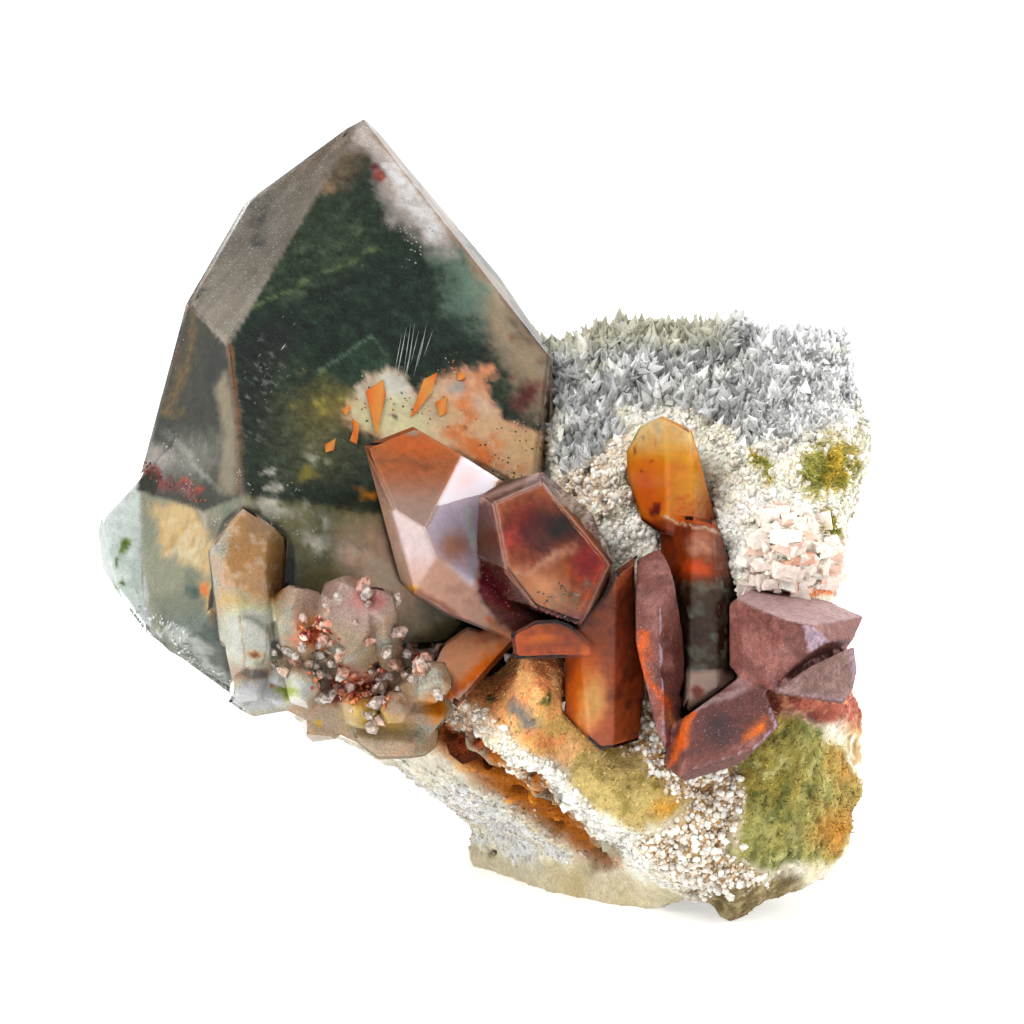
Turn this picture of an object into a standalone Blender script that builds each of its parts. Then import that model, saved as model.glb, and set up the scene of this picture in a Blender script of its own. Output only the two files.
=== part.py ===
"""Chlorite quartz specimen: a large phantom quartz crystal and smaller pink, amber and
purple-coated quartz crystals on a block of druse-covered vein rock.

Lengths in the tables below are in millimetres. X is across, -Y is the front, Z is up,
and the specimen stands on Z = 0.
"""
import math
import random

import bmesh
import bpy
import numpy as np
from mathutils import Vector, noise
from mathutils.bvhtree import BVHTree
from mathutils.geometry import delaunay_2d_cdt

MM = 0.001
GAP = 0.3 * MM
BLOCK = 90.0 * MM
QUARTZ_SLOPE = math.radians(38.2)
SEED = 11

# Crystal faces
# Each crystal is cut from a block by flat faces. A face is given by the compass direction
# and the slope of its outward side in degrees, and by its distance from the crystal's heart.

MAIN_HEART = (-20, 0, 60)
MAIN_FACES = (
    (-67, 37, 10.7),    # broad front face of the point
    (-127, 50, 19.4),   # satin left face of the point
    (-6, 41, 27.2),
    (44, 26, 33.5),
    (97, 32, 37.0),
    (152, 46, 31.8),
    (-75, 6, 18.5),     # front side
    (-10, 1, 27.5),
    (44, -12, 24.0),
    (105, -6, 21.0),
    (160, 11, 20.4),
    (-143, 18, 18.5),   # dark left side
    (180, -8, 25.8),    # broken left edge
    (-172, -56, 32.8),  # broken lower left
    (-177, -40, 33.4),
    (-88, -34, 29.7),   # undercut behind the small crystals
    (-90, -80, 33.2),
)

SHELL_HEART = (-45, -2, 50)
SHELL_FACES = (
    (-110, 10, 4.0),
    (-150, -5, 5.0),
    (172, 21, 3.4),
    (165, 43, 2.5),
    (-172, -56, 11.5),
    (-177, -38, 7.8),
    (177, -6, 4.9),
    (90, 10, 5.0),
    (0, 10, 10.0),
)

PINK_HEART = (-4, -16, 44)
PINK_FACES = (
    (-80, 49, 16.5),    # brown front face of the point
    (-41, 21, 10.6),    # lilac right face
    (-115, 0, 15.3),    # small white side
    (-71, -22, 11.3),   # tan lower front
    (-165, -13, 7.5),   # narrow left side
    (133, 42, 13.9),
    (19, 57, 13.7),
    (179, -15, 5.5),
    (-172, -55, 3.2),
    (-168, -65, 3.4),
    (-5, 10, 16.0),
    (95, 5, 9.0),
    (150, 10, 9.0),
)

ROSY_HEART = (9, -24, 42)
ROSY_FACES = (
    (-71, 19, 12.0),    # front window
    (-158, -5, 9.5),
    (-141, 72, 17.8),
    (-9, 39, 10.1),
    (-16, -20, 5.7),
    (-159, -35, 4.2),
    (-151, -66, 1.3),
    (175, 3, 9.5),
    (161, 50, 15.6),
    (137, 70, 16.0),
    (20, 52, 12.3),
    (7, 17, 8.3),
    (3, -6, 6.3),
    (-3, -40, 3.1),
    (-177, -41, 5.0),
    (95, 0, 12.0),
)

WEDGE_HEART = (-2, -25, 28)
WEDGE_FACES = (
    (-80, 40, 5.5),     # sloping pink-orange face
    (172, 19, 6.0),
    (161, 51, 8.9),
    (48, 71, 11.0),
    (-5, -44, -2.0),
    (-174, -50, -0.8),
    (90, 0, 9.0),
)

AMBER_HEART = (15, -24, 31)
AMBER_FACES = (
    (-92, 6, 6.2),
    (-140, 0, 5.6),
    (-38, 3, 5.0),
    (176, 0, 4.4),
    (170, 27, 6.8),
    (166, 40, 8.6),
    (162, 49, 10.4),
    (5, 3, 5.2),
    (3, -7, 5.1),
    (-38, -80, 6.5),
    (-175, -47, 4.9),
    (90, 0, 7.0),
)

STUB_HEART = (7, -28, 31)
STUB_FACES = (
    (-85, 5, 4.0),
    (155, 58, 8.4),
    (105, 75, 9.4),
    (16, 45, 9.3),
    (2, -10, 5.5),
    (-81, -84, -5.4),
    (177, -8, 1.9),
    (90, 0, 6.0),
)

ORANGE_TIP_HEART = (24, -12, 53)
ORANGE_TIP_FACES = (
    (-80, 14, 6.2),
    (-135, 10, 5.2),
    (-28, 10, 5.2),
    (-85, 50, 10.2),
    (-150, 45, 9.6),
    (150, 63, 10.2),
    (27, 60, 8.8),
    (7, 16, 4.7),
    (-161, -72, 3.7),
    (-172, -56, 3.8),
    (179, -20, 4.1),
    (176, -3, 5.3),
    (170, 28, 8.0),
    (95, -10, 6.0),
)

ORANGE_SHAFT_HEART = (28, -20, 38)
ORANGE_SHAFT_FACES = (
    (-84, 16, 6.0),
    (-30, 10, 4.2),
    (-150, 10, 5.0),
    (-75, -28, 10.0),
    (52, 72, 13.4),
    (9, 22, 6.3),
    (6, 13, 4.8),
    (4, -3, 3.6),
    (-5, -49, 7.1),
    (180, -24, 6.1),
    (176, -1, 5.4),
    (95, -10, 7.0),
)

COLUMN_HEART = (21, -28, 33)
COLUMN_FACES = (
    (-98, 4, 4.6),
    (-30, 4, 3.6),
    (-100, 58, 11.0),
    (176, -1, 1.6),
    (155, 59, 14.3),
    (8, 21, 7.6),
    (6, 10, 5.0),
    (5, 5, 4.5),
    (3, -4, 4.1),
    (2, -13, 4.3),
    (-10, -61, 7.6),
    (179, -20, 0.9),
    (178, -14, 0.4),
    (90, 0, 7.0),
)

FOOT_CRYSTAL_HEART = (30, -29, 20)
FOOT_CRYSTAL_FACES = (
    (-82, 6, 6.0),
    (-122, 53, 12.1),
    (-165, 6, 7.1),
    (-68, -35, 1.5),
    (173, 17, 7.9),
    (160, 52, 9.7),
    (9, 23, 9.0),
    (-4, -44, -1.0),
    (-19, -73, -2.7),
    (-167, -67, 0.4),
    (90, 0, 6.0),
)

SIDE_CRYSTAL_HEART = (41, -27, 33)
SIDE_CRYSTAL_FACES = (
    (-11, 78, 8.9),     # sandy top
    (-136, 4, 9.5),     # sandy left front
    (-92, -6, 8.0),
    (-60, 1, 7.1),      # bright right front
    (-31, 29, 7.7),
    (-40, -41, 0.2),    # dark underside
    (176, -1, 10.0),
    (161, 50, 13.6),
    (25, 58, 10.2),
    (-2, -34, 1.1),
    (-167, -67, 2.4),
    (-177, -41, 6.2),
    (90, 0, 7.0),
)

GREY_HEART = (44, -27, 28)
GREY_FACES = (
    (-68, -8, 6.0),
    (-79, -43, 2.6),
    (159, 53, 7.1),
    (152, 62, 7.3),
    (6, 10, 2.8),
    (3, -8, 0.7),
    (-2, -34, -1.4),
    (-152, -77, -2.8),
    (90, 0, 5.0),
)

CHUNK_HEART = (-13, -20, 21)
CHUNK_FACES = (
    (-95, 5, 5.0),
    (-90, 50, 6.0),
    (-40, -5, 6.5),
    (167, 39, 6.2),
    (137, 70, 7.3),
    (16, 44, 9.1),
    (4, -3, 7.1),
    (-9, -58, 2.0),
    (-67, -83, -0.9),
    (-174, -51, -0.8),
    (180, -25, 1.0),
    (90, 0, 12.0),
)

VEIN_HEART = (-17, -17, 28)
VEIN_FACES = (
    (-90, 30, 6.5),
    (-95, -25, 6.0),
    (-20, 10, 14.0),
    (-160, 10, 12.0),
    (180, 45, 9.5),
    (0, 90, 7.0),
    (-150, -62, 4.2),
    (-90, -80, 6.0),
    (0, -40, 10.0),
    (90, 0, 8.0),
)

# Small quartz points of the left cluster
# root, tip, radius, turn about the axis in degrees, flattening
SMALL_POINTS = (
    ((-28.5, -18, 31.5), (-29.3, -28, 41.0), 3.3, 20, 0.85),
    ((-20.0, -18, 30.5), (-32.0, -20, 28.8), 2.4, 10, 0.90),
    ((-26.0, -16, 32.0), (-31.0, -25, 31.0), 2.3, 40, 0.80),
    ((-28.4, -20, 38.0), (-29.6, -26, 55.0), 5.2, 0, 0.70),
    ((-22.0, -18, 31.0), (-23.0, -29, 45.5), 3.6, 25, 0.80),
    ((-15.0, -18, 31.0), (-17.2, -31, 46.5), 4.2, 5, 0.80),
    ((-11.5, -20, 31.0), (-13.0, -30, 45.5), 2.4, 30, 0.85),
    ((-9.0, -22, 31.0), (-5.0, -33, 34.5), 2.5, 15, 0.85),
    ((-22.0, -18, 28.0), (-22.5, -29, 34.0), 2.2, 35, 0.90),
    ((-18.0, -16, 27.0), (-22.0, -23, 25.3), 2.6, 10, 0.80),
    ((-15.0, -18, 28.0), (-15.5, -28, 29.5), 2.3, 50, 0.90),
    ((-11.0, -20, 27.0), (-10.5, -29, 30.5), 2.0, 5, 0.90),
    ((-24.0, -16, 32.0), (-25.5, -26, 35.0), 2.6, 30, 0.75),
)

# The vein rock
# Points of its rim as seen from the front, then points of its front surface.
ROCK_RIM = (
    (7, 14, 69), (14, 15, 72), (21, 15, 73), (27, 15, 73), (32, 15, 72), (34, 15, 71),
    (37, 15, 72), (48, 13, 72), (49, 12, 71), (49, 8, 67), (50, 0, 61), (50, -3, 56),
    (47, -9, 49), (45, -14, 42), (45, -15, 36), (47, -14, 32), (49, -10, 22),
    (49, -10, 15), (47, -11, 7), (44, -13, 3), (36, -17, 2), (33, -20, 0), (31, -20, 0),
    (28, -18, 3), (20, -13, -1), (9, 1, -2), (-1, 7, -1), (-2, 8, 1), (-1, 8, 5),
    (-11, 4, 14), (-20, 2, 19), (-29, 3, 24), (-30, 4, 26), (-24, 5, 30), (-11, 8, 31),
    (2, 10, 36), (5, 12, 49), (5, 13, 60),
)
ROCK_FRONT = (
    (15, 8, 68), (28, 8, 68), (41, 6, 69), (15, 3, 63), (28, 1, 63), (41, -1, 64),
    (47, -2, 62), (13, -4, 58), (25, -6, 57), (38, -8, 59), (18, -11, 51), (31, -10, 54),
    (35, -13, 56), (45, -12, 53), (35, -20, 53), (43, -17, 52), (33, -22, 47),
    (40, -22, 47), (44, -18, 44), (35, -22, 37), (43, -20, 34), (47, -17, 29),
    (20, -14, 46), (21, -18, 38), (28, -18, 36), (4, -22, 35), (10, -23, 35),
    (-4, -23, 30), (2, -26, 28), (9, -27, 25), (17, -25, 25), (21, -22, 29),
    (1, -28, 24), (7, -29, 20), (15, -29, 15), (21, -26, 10), (26, -23, 6),
    (-5, -13, 23), (0, -13, 18), (5, -13, 15), (10, -13, 11), (15, -12, 7),
    (-7, -8, 18), (0, -7, 11), (7, -5, 5), (15, -7, 2), (-11, -8, 24), (-19, -6, 25),
    (-25, -4, 27), (-17, -4, 29), (-8, -10, 32), (0, -8, 37), (27, -24, 22),
    (32, -24, 22), (27, -26, 15), (36, -23, 26), (46, -16, 23), (35, -24, 17),
    (40, -22, 18), (46, -16, 15), (32, -25, 10), (39, -20, 7), (33, -24, 5),
    (7, 0, 51), (5, -4, 44),
)
ROCK_BACK = 31.0
ROCK_BACK_LEAN = 0.34
ROCK_EDGE_ROUND = 13.0
FRONT_SPACING = 2.3
BACK_SPACING = 3.4
RIM_SPACING = 2.0

REAR_HEART = (26, 14, 20)
REAR_FACES = (
    (0, -90, 20.0),
    (90, 3, 19.5),
    (65, 30, 22.5),
    (120, 25, 22.5),
    (0, 5, 15.5),
    (180, -4, 17.0),
    (35, -8, 20.5),
    (145, -5, 21.0),
    (90, 55, 23.0),
    (-90, 10, 10.0),
)

# Smooth milky base under the left end of the rock
BASE_HEART = (10, 2, 3)
BASE_FACES = (
    (0, -90, 3.0),
    (-144, -6, 5.8),
    (-128, -4, 6.8),
    (-120, -6, 8.9),
    (-101, -8, 12.9),
    (180, 12, 11.2),
    (-150, 40, 7.6),
    (-125, 45, 7.8),
    (180, 55, 9.2),
    (20, 60, 12.0),
    (0, 90, 4.6),
    (90, 0, 14.0),
    (0, 0, 14.0),
    (135, -5, 17.0),
)

# Hollows of the orange vein: centre and radius
VEIN_HOLLOWS = (
    ((-4.0, -17, 24.5), 3.2),
    ((-1.0, -17, 20.5), 2.6),
    ((4.5, -17.5, 16.0), 1.5),
    ((8.0, -18, 14.5), 1.8),
    ((12.0, -18, 11.0), 1.2),
)

# Broken surface of the rock: how fine each kind of relief is and how far it stands out
SWELL_FINENESS = 0.16
SWELL_HEIGHT = 1.0
CHIP_FINENESS = 0.26
CHIP_HEIGHT = 1.5
CHIP_LEVEL = 0.5
GRIT_FINENESS = 0.55
GRIT_HEIGHT = 0.35
RIM_WOBBLE = 0.45
RIM_STEP = 4.0

# Druse of small quartz points on the upper front of the rock
DRUSE_COUNT = 90
DRUSE_CLOSEST = 2.0
DRUSE_SIDES = (7.0, 48.0)
DRUSE_TOP = 71.2
DRUSE_LOW_LEFT = 49.5
DRUSE_LOW_RIGHT = 53.5
DRUSE_STEP = 22.0
DRUSE_RISE = 0.06
DRUSE_RADIUS = (0.9, 1.5)
DRUSE_SLENDER = (1.9, 2.9)
DRUSE_ROOT = 1.3

# Crumbly lumps below the druse, down the middle and along the white ridge
CRUMB_COUNT = 26
CRUMB_CLOSEST = 2.4
CRUMB_RADIUS = (0.8, 1.5)
CRUMB_UPPER = (12.0, 46.0, 44.0, 58.0)
CRUMB_LOWER = (20.0, 33.0, 3.0, 34.0)
RIDGE_SIDES = (-4.0, 28.0)
RIDGE_START = (1.0, 24.0)
RIDGE_FALL = 0.72
RIDGE_WIDTH = 2.5


def clear_scene():
    for item in list(bpy.data.objects):
        bpy.data.objects.remove(item, do_unlink=True)


def material(name, colour, roughness, metallic=0.0, transmission=0.0):
    surface = bpy.data.materials.new(name)
    surface.use_nodes = True
    shader = surface.node_tree.nodes["Principled BSDF"]
    shader.inputs["Base Color"].default_value = (*colour, 1.0)
    shader.inputs["Roughness"].default_value = roughness
    shader.inputs["Metallic"].default_value = metallic
    shader.inputs["Transmission Weight"].default_value = transmission
    shader.inputs["IOR"].default_value = 1.544
    surface.diffuse_color = (*colour, 1.0)
    return surface


def direction(compass, slope):
    a = math.radians(compass)
    e = math.radians(slope)
    return Vector((math.cos(a) * math.cos(e), math.sin(a) * math.cos(e), math.sin(e)))


def cut_block(planes):
    """A solid left inside all planes, each an outward normal and a distance."""
    bm = bmesh.new()
    bmesh.ops.create_cube(bm, size=2 * BLOCK)
    for normal, distance in planes:
        everything = bm.verts[:] + bm.edges[:] + bm.faces[:]
        cut = bmesh.ops.bisect_plane(bm, geom=everything, dist=1e-7, plane_co=normal * distance,
                                     plane_no=normal, clear_outer=True)
        edges = [item for item in cut["geom_cut"] if isinstance(item, bmesh.types.BMEdge)]
        if len(edges) > 2:
            bmesh.ops.contextual_create(bm, geom=edges)
    bmesh.ops.remove_doubles(bm, verts=bm.verts[:], dist=0.02 * MM)
    bmesh.ops.recalc_face_normals(bm, faces=bm.faces[:])
    return bm


def place(bm, name, location):
    mesh = bpy.data.meshes.new(name)
    bm.to_mesh(mesh)
    bm.free()
    item = bpy.data.objects.new(name, mesh)
    item.location = location
    bpy.context.scene.collection.objects.link(item)
    return item


def facet_crystal(name, heart, faces, grow=0.0):
    planes = [(direction(c, s), d * MM + grow) for c, s, d in faces]
    return place(cut_block(planes), name, Vector(heart) * MM)


def quartz_planes(axis, length, radius, turn, flat):
    """Six sides, six point faces and a base of a quartz crystal with its root at the origin."""
    side = axis.cross(Vector((0.3, 1.0, 0.2))).normalized()
    other = axis.cross(side)
    planes = [(-axis, 0.0)]
    for k in range(6):
        angle = math.radians(turn + 60 * k)
        out = side * math.cos(angle) + other * math.sin(angle)
        reach = radius * (flat if k % 3 == 0 else 1.0)
        planes.append((out, reach))
        cap = out * math.cos(QUARTZ_SLOPE) + axis * math.sin(QUARTZ_SLOPE)
        offset = 0.12 * radius * (k % 2) + (0.25 * radius if k == 1 else 0.0)
        planes.append((cap, length * math.sin(QUARTZ_SLOPE) + offset))
    return planes


def quartz_point(name, root, tip, radius, turn=0.0, flat=1.0, grow=0.0):
    root = Vector(root) * MM
    tip = Vector(tip) * MM
    axis = (tip - root).normalized()
    planes = quartz_planes(axis, (tip - root).length, radius * MM, turn, flat)
    return place(cut_block([(n, d + grow) for n, d in planes]), name, root)


def bake(item):
    graph = bpy.context.evaluated_depsgraph_get()
    mesh = bpy.data.meshes.new_from_object(item.evaluated_get(graph))
    old = item.data
    item.modifiers.clear()
    item.data = mesh
    bpy.data.meshes.remove(old)


def combine(item, tool, operation, solver="EXACT", own_parts=False):
    """Boolean of two objects; the tool is removed afterwards."""
    change = item.modifiers.new("shape", "BOOLEAN")
    change.operation = operation
    change.solver = solver
    if solver == "EXACT":
        change.use_self = own_parts
    change.object = tool
    bake(item)
    bpy.data.objects.remove(tool, do_unlink=True)


def unite(item, *tools):
    for tool in tools:
        combine(item, tool, "UNION")
    return item


def islands(bm):
    """Groups of faces that are joined across their edges."""
    left = set(bm.faces)
    while left:
        found = set()
        stack = [left.pop()]
        while stack:
            face = stack.pop()
            found.add(face)
            for edge in face.edges:
                for other in edge.link_faces:
                    if len(edge.link_faces) == 2 and other in left:
                        left.remove(other)
                        stack.append(other)
        yield found


def tidy(item, angle=0.2):
    """Merge doubles, join flat neighbours and keep only the largest connected body."""
    bm = bmesh.new()
    bm.from_mesh(item.data)
    bmesh.ops.remove_doubles(bm, verts=bm.verts[:], dist=0.001 * MM)
    bmesh.ops.dissolve_limit(bm, angle_limit=math.radians(angle), verts=bm.verts[:],
                             edges=bm.edges[:])
    bmesh.ops.triangulate(bm, faces=bm.faces[:])
    groups = sorted(islands(bm), key=len, reverse=True)
    for group in groups[1:]:
        bmesh.ops.delete(bm, geom=list(group), context="FACES")
    bmesh.ops.recalc_face_normals(bm, faces=bm.faces[:])
    bm.to_mesh(item.data)
    bm.free()


def finish(item, surface, parent, angle=0.2):
    tidy(item, angle)
    item.data.materials.clear()
    item.data.materials.append(surface)
    item.parent = parent
    return item


def resample(points, spacing):
    """Points along a closed line of corner points, about one spacing apart."""
    result = []
    for start, end in zip(points, points[1:] + points[:1]):
        steps = max(1, round((end - start).length / spacing))
        for k in range(steps):
            result.append(start.lerp(end, k / steps))
    return result


def inside(x, z, outline):
    crossings = 0
    for a, b in zip(outline, outline[1:] + outline[:1]):
        if (a.z > z) != (b.z > z) and x < a.x + (z - a.z) * (b.x - a.x) / (b.z - a.z):
            crossings += 1
    return crossings % 2 == 1


def rim_distance(x, z, outline):
    best = 1e9
    for a, b in zip(outline, outline[1:] + outline[:1]):
        ax, az = b.x - a.x, b.z - a.z
        along = ((x - a.x) * ax + (z - a.z) * az) / max(ax * ax + az * az, 1e-12)
        along = min(1.0, max(0.0, along))
        best = min(best, math.hypot(x - a.x - along * ax, z - a.z - along * az))
    return best


def rim_depth(x, z, outline):
    total = weight = 0.0
    for point in outline:
        w = 1.0 / (math.hypot(x - point.x, z - point.z) + 0.1) ** 3
        total += w * point.y
        weight += w
    return total / weight


def smooth_surface(points):
    """A thin-plate surface y(x, z) through the given points."""
    xy = np.array([(p.x, p.z) for p in points])
    y = np.array([p.y for p in points])
    r = np.hypot(xy[:, None, 0] - xy[None, :, 0], xy[:, None, 1] - xy[None, :, 1])
    bend = r * r * np.log(r + 1e-9) + np.eye(len(y)) * 0.5
    flat = np.hstack([np.ones((len(y), 1)), xy])
    system = np.block([[bend, flat], [flat.T, np.zeros((3, 3))]])
    weights = np.linalg.solve(system, np.concatenate([y, np.zeros(3)]))

    def value(x, z):
        d = np.hypot(xy[:, 0] - x, xy[:, 1] - z)
        return float(d * d * np.log(d + 1e-9) @ weights[:-3] + weights[-3:] @ (1.0, x, z))

    return value


def lattice(outline, spacing, chance):
    """Scattered points inside the outline, in staggered rows."""
    low_x = min(p.x for p in outline)
    high_x = max(p.x for p in outline)
    low_z = min(p.z for p in outline)
    high_z = max(p.z for p in outline)
    points = []
    rows = int((high_z - low_z) / (spacing * 0.87))
    for row in range(1, rows + 1):
        for column in range(int((high_x - low_x) / spacing) + 1):
            x = low_x + (column + 0.5 * (row % 2)) * spacing
            z = low_z + row * spacing * 0.87
            x += chance.uniform(-0.28, 0.28) * spacing
            z += chance.uniform(-0.28, 0.28) * spacing
            if inside(x, z, outline) and rim_distance(x, z, outline) > 0.5 * spacing:
                points.append((x, z))
    return points


def split_chords(bm, rim_set, depth):
    """Give every inner edge between two rim corners a middle point on the surface."""
    chords = [e for e in bm.edges if len(e.link_faces) == 2 and rim_set.issuperset(e.verts)]
    for edge in chords:
        _, middle = bmesh.utils.edge_split(edge, edge.verts[0], 0.5)
        middle.co.y = depth(middle.co.x / MM, middle.co.z / MM) * MM
        for face in list(middle.link_faces):
            near = {e.other_vert(middle) for e in middle.link_edges}
            far = [v for v in face.verts if v is not middle and v not in near]
            bmesh.utils.face_split(face, middle, far[0])


def sheet(outline, spacing, depth, chance):
    """One side of the rock, stretched over the rim."""
    bm = bmesh.new()
    inner = lattice(outline, spacing, chance)
    flat = [Vector((p.x, p.z)) for p in outline] + [Vector(p) for p in inner]
    result = delaunay_2d_cdt(flat, [], [list(range(len(outline)))], 1, 1e-5)
    corners = []
    rim_set = set()
    for spot, source in zip(result[0], result[3]):
        on_rim = bool(source) and source[0] < len(outline)
        y = outline[source[0]].y if on_rim else depth(spot.x, spot.y)
        corners.append(bm.verts.new(Vector((spot.x, y, spot.y)) * MM))
        if on_rim:
            rim_set.add(corners[-1])
    for triangle in result[2]:
        bm.faces.new([corners[k] for k in triangle])
    split_chords(bm, rim_set, depth)
    mesh = bpy.data.meshes.new("sheet")
    bm.to_mesh(mesh)
    bm.free()
    return mesh


def rough_offset(where):
    """How far the broken rock stands out at a point, in millimetres."""
    swell = noise.noise(where * (SWELL_FINENESS / MM)) * SWELL_HEIGHT
    near = noise.voronoi(where * (CHIP_FINENESS / MM))[0]
    chips = (near[1] - near[0]) * CHIP_HEIGHT - CHIP_LEVEL
    grit = noise.noise(where * (GRIT_FINENESS / MM)) * GRIT_HEIGHT
    return swell + chips + grit


def rock_body(chance):
    corners = [Vector(p) for p in ROCK_RIM]
    outline = resample(corners, RIM_SPACING)
    for k, point in enumerate(outline):
        point.x += RIM_WOBBLE * noise.noise(Vector((k * 0.7, 1.3, 0)))
        point.z += RIM_WOBBLE * noise.noise(Vector((k * 0.7, 7.1, 0)))
    front_value = smooth_surface([Vector(p) for p in ROCK_FRONT] + corners)

    def front_depth(x, z):
        reach = min(1.0, rim_distance(x, z, outline) / RIM_STEP)
        return min(front_value(x, z), rim_depth(x, z, outline) - 0.8 * reach)

    def back_depth(x, z):
        near = min(1.0, rim_distance(x, z, outline) / ROCK_EDGE_ROUND)
        swell = math.sqrt(1.0 - (1.0 - near) ** 2)
        start = rim_depth(x, z, outline)
        target = ROCK_BACK - ROCK_BACK_LEAN * max(0.0, z - 34.0) + 0.25 * min(0.0, x)
        return start + max(4.0, target - start) * swell

    bm = bmesh.new()
    bm.from_mesh(sheet(outline, FRONT_SPACING, front_depth, chance))
    bm.from_mesh(sheet(outline, BACK_SPACING, back_depth, chance))
    bmesh.ops.remove_doubles(bm, verts=bm.verts[:], dist=0.001 * MM)
    bmesh.ops.recalc_face_normals(bm, faces=bm.faces[:])
    bm.normal_update()
    moves = []
    for vert in bm.verts:
        from_rim = rim_distance(vert.co.x / MM, vert.co.z / MM, outline)
        reach = min(1.0, 0.25 + from_rim / RIM_STEP)
        moves.append(vert.normal * rough_offset(vert.co) * reach * MM)
    for vert, move in zip(bm.verts, moves):
        vert.co += move
    return place(bm, "matrix", (0, 0, 0))


def surface_tree(item):
    graph = bpy.context.evaluated_depsgraph_get()
    return BVHTree.FromObject(item, graph)


def scatter(tree, count, closest, area, chance):
    """Points on the front of the rock inside an area test, kept apart from each other."""
    found = []
    tries = 0
    while len(found) < count and tries < 20000:
        tries += 1
        x = chance.uniform(-30, 52) * MM
        z = chance.uniform(-2, 75) * MM
        if not area(x / MM, z / MM):
            continue
        hit, normal, _, _ = tree.ray_cast(Vector((x, -0.2, z)), Vector((0, 1, 0)))
        if hit is None or any((hit - p).length < closest * MM for p, _ in found):
            continue
        found.append((hit, normal))
    return found


def druse_area(x, z):
    low = DRUSE_LOW_LEFT if x < DRUSE_STEP else DRUSE_LOW_RIGHT
    return DRUSE_SIDES[0] < x < DRUSE_SIDES[1] and low + DRUSE_RISE * x < z < DRUSE_TOP


def in_box(x, z, limits):
    left, right, low, high = limits
    return left < x < right and low < z < high


def crumb_area(x, z):
    ridge_height = RIDGE_START[1] - RIDGE_FALL * (x - RIDGE_START[0])
    on_ridge = RIDGE_SIDES[0] < x < RIDGE_SIDES[1] and abs(z - ridge_height) < RIDGE_WIDTH
    return on_ridge or in_box(x, z, CRUMB_UPPER) or in_box(x, z, CRUMB_LOWER)


def add_point_mesh(bm, root, axis, length, radius, turn):
    """A small six-sided quartz point made directly from its corners."""
    side = axis.cross(Vector((0.3, 1.0, 0.2))).normalized()
    other = axis.cross(side)
    cap = min(0.6 * length, 1.15 * radius)
    low = []
    high = []
    for k in range(6):
        angle = math.radians(turn + 60 * k)
        out = (side * math.cos(angle) + other * math.sin(angle)) * radius
        low.append(bm.verts.new(root + out))
        high.append(bm.verts.new(root + out + axis * (length - cap)))
    apex = bm.verts.new(root + axis * length + side * 0.15 * radius)
    for k in range(6):
        n = (k + 1) % 6
        bm.faces.new((low[k], low[n], high[n], high[k]))
        bm.faces.new((high[k], high[n], apex))
    bm.faces.new(low[::-1])


def druse_points(tree, chance):
    """Small quartz points standing on the upper front of the rock."""
    points = []
    for hit, normal in scatter(tree, DRUSE_COUNT, DRUSE_CLOSEST, druse_area, chance):
        if normal.y > 0:
            normal = -normal
        axis = normal * 0.7 + Vector((0, -0.25, 0.55))
        axis += Vector([chance.uniform(-0.35, 0.35) for _ in range(3)])
        axis.normalize()
        radius = chance.uniform(*DRUSE_RADIUS) * MM
        length = radius * chance.uniform(*DRUSE_SLENDER) + DRUSE_ROOT * MM
        root = hit - axis * DRUSE_ROOT * MM
        bm = bmesh.new()
        add_point_mesh(bm, root, axis, length, radius, chance.uniform(0, 60))
        bmesh.ops.recalc_face_normals(bm, faces=bm.faces[:])
        points.append(place(bm, "druse_point", (0, 0, 0)))
    return points


def crumbs(tree, chance):
    """Loose-looking angular lumps of the crumbly white parts."""
    lumps = []
    for hit, _ in scatter(tree, CRUMB_COUNT, CRUMB_CLOSEST, crumb_area, chance):
        bm = bmesh.new()
        size = chance.uniform(*CRUMB_RADIUS) * MM
        bmesh.ops.create_icosphere(bm, subdivisions=1, radius=size)
        for vert in bm.verts:
            vert.co *= chance.uniform(0.75, 1.25)
        lumps.append(place(bm, "crumb", hit + Vector((0, 0.2 * MM, 0))))
    return lumps


def hollows():
    balls = []
    for centre, radius in VEIN_HOLLOWS:
        bm = bmesh.new()
        bmesh.ops.create_icosphere(bm, subdivisions=2, radius=radius * MM)
        for vert in bm.verts:
            vert.co.y *= 1.7
            vert.co *= 1.0 + 0.15 * noise.noise(vert.co * 900)
        balls.append(place(bm, "hollow", Vector(centre) * MM))
    return balls


def flat_ground():
    """A block below the ground plane, which cuts the flat feet."""
    bm = bmesh.new()
    bmesh.ops.create_cube(bm, size=0.2)
    return place(bm, "ground", (0, 0, -0.1))


PINK_GROUP = (
    ("pink", PINK_HEART, PINK_FACES),
    ("rosy", ROSY_HEART, ROSY_FACES),
    ("wedge", WEDGE_HEART, WEDGE_FACES),
)
AMBER_GROUP = (
    ("amber", AMBER_HEART, AMBER_FACES),
    ("stub", STUB_HEART, STUB_FACES),
)
ORANGE_GROUP = (
    ("orange_tip", ORANGE_TIP_HEART, ORANGE_TIP_FACES),
    ("orange_shaft", ORANGE_SHAFT_HEART, ORANGE_SHAFT_FACES),
)
PURPLE_GROUP = (
    ("column", COLUMN_HEART, COLUMN_FACES),
    ("foot_crystal", FOOT_CRYSTAL_HEART, FOOT_CRYSTAL_FACES),
    ("side_crystal", SIDE_CRYSTAL_HEART, SIDE_CRYSTAL_FACES),
    ("grey_crystal", GREY_HEART, GREY_FACES),
)
VEIN_GROUP = (
    ("vein", VEIN_HEART, VEIN_FACES),
    ("chunk", CHUNK_HEART, CHUNK_FACES),
)
MAIN_GROUP = (
    ("main", MAIN_HEART, MAIN_FACES),
    ("shell", SHELL_HEART, SHELL_FACES),
)


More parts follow.
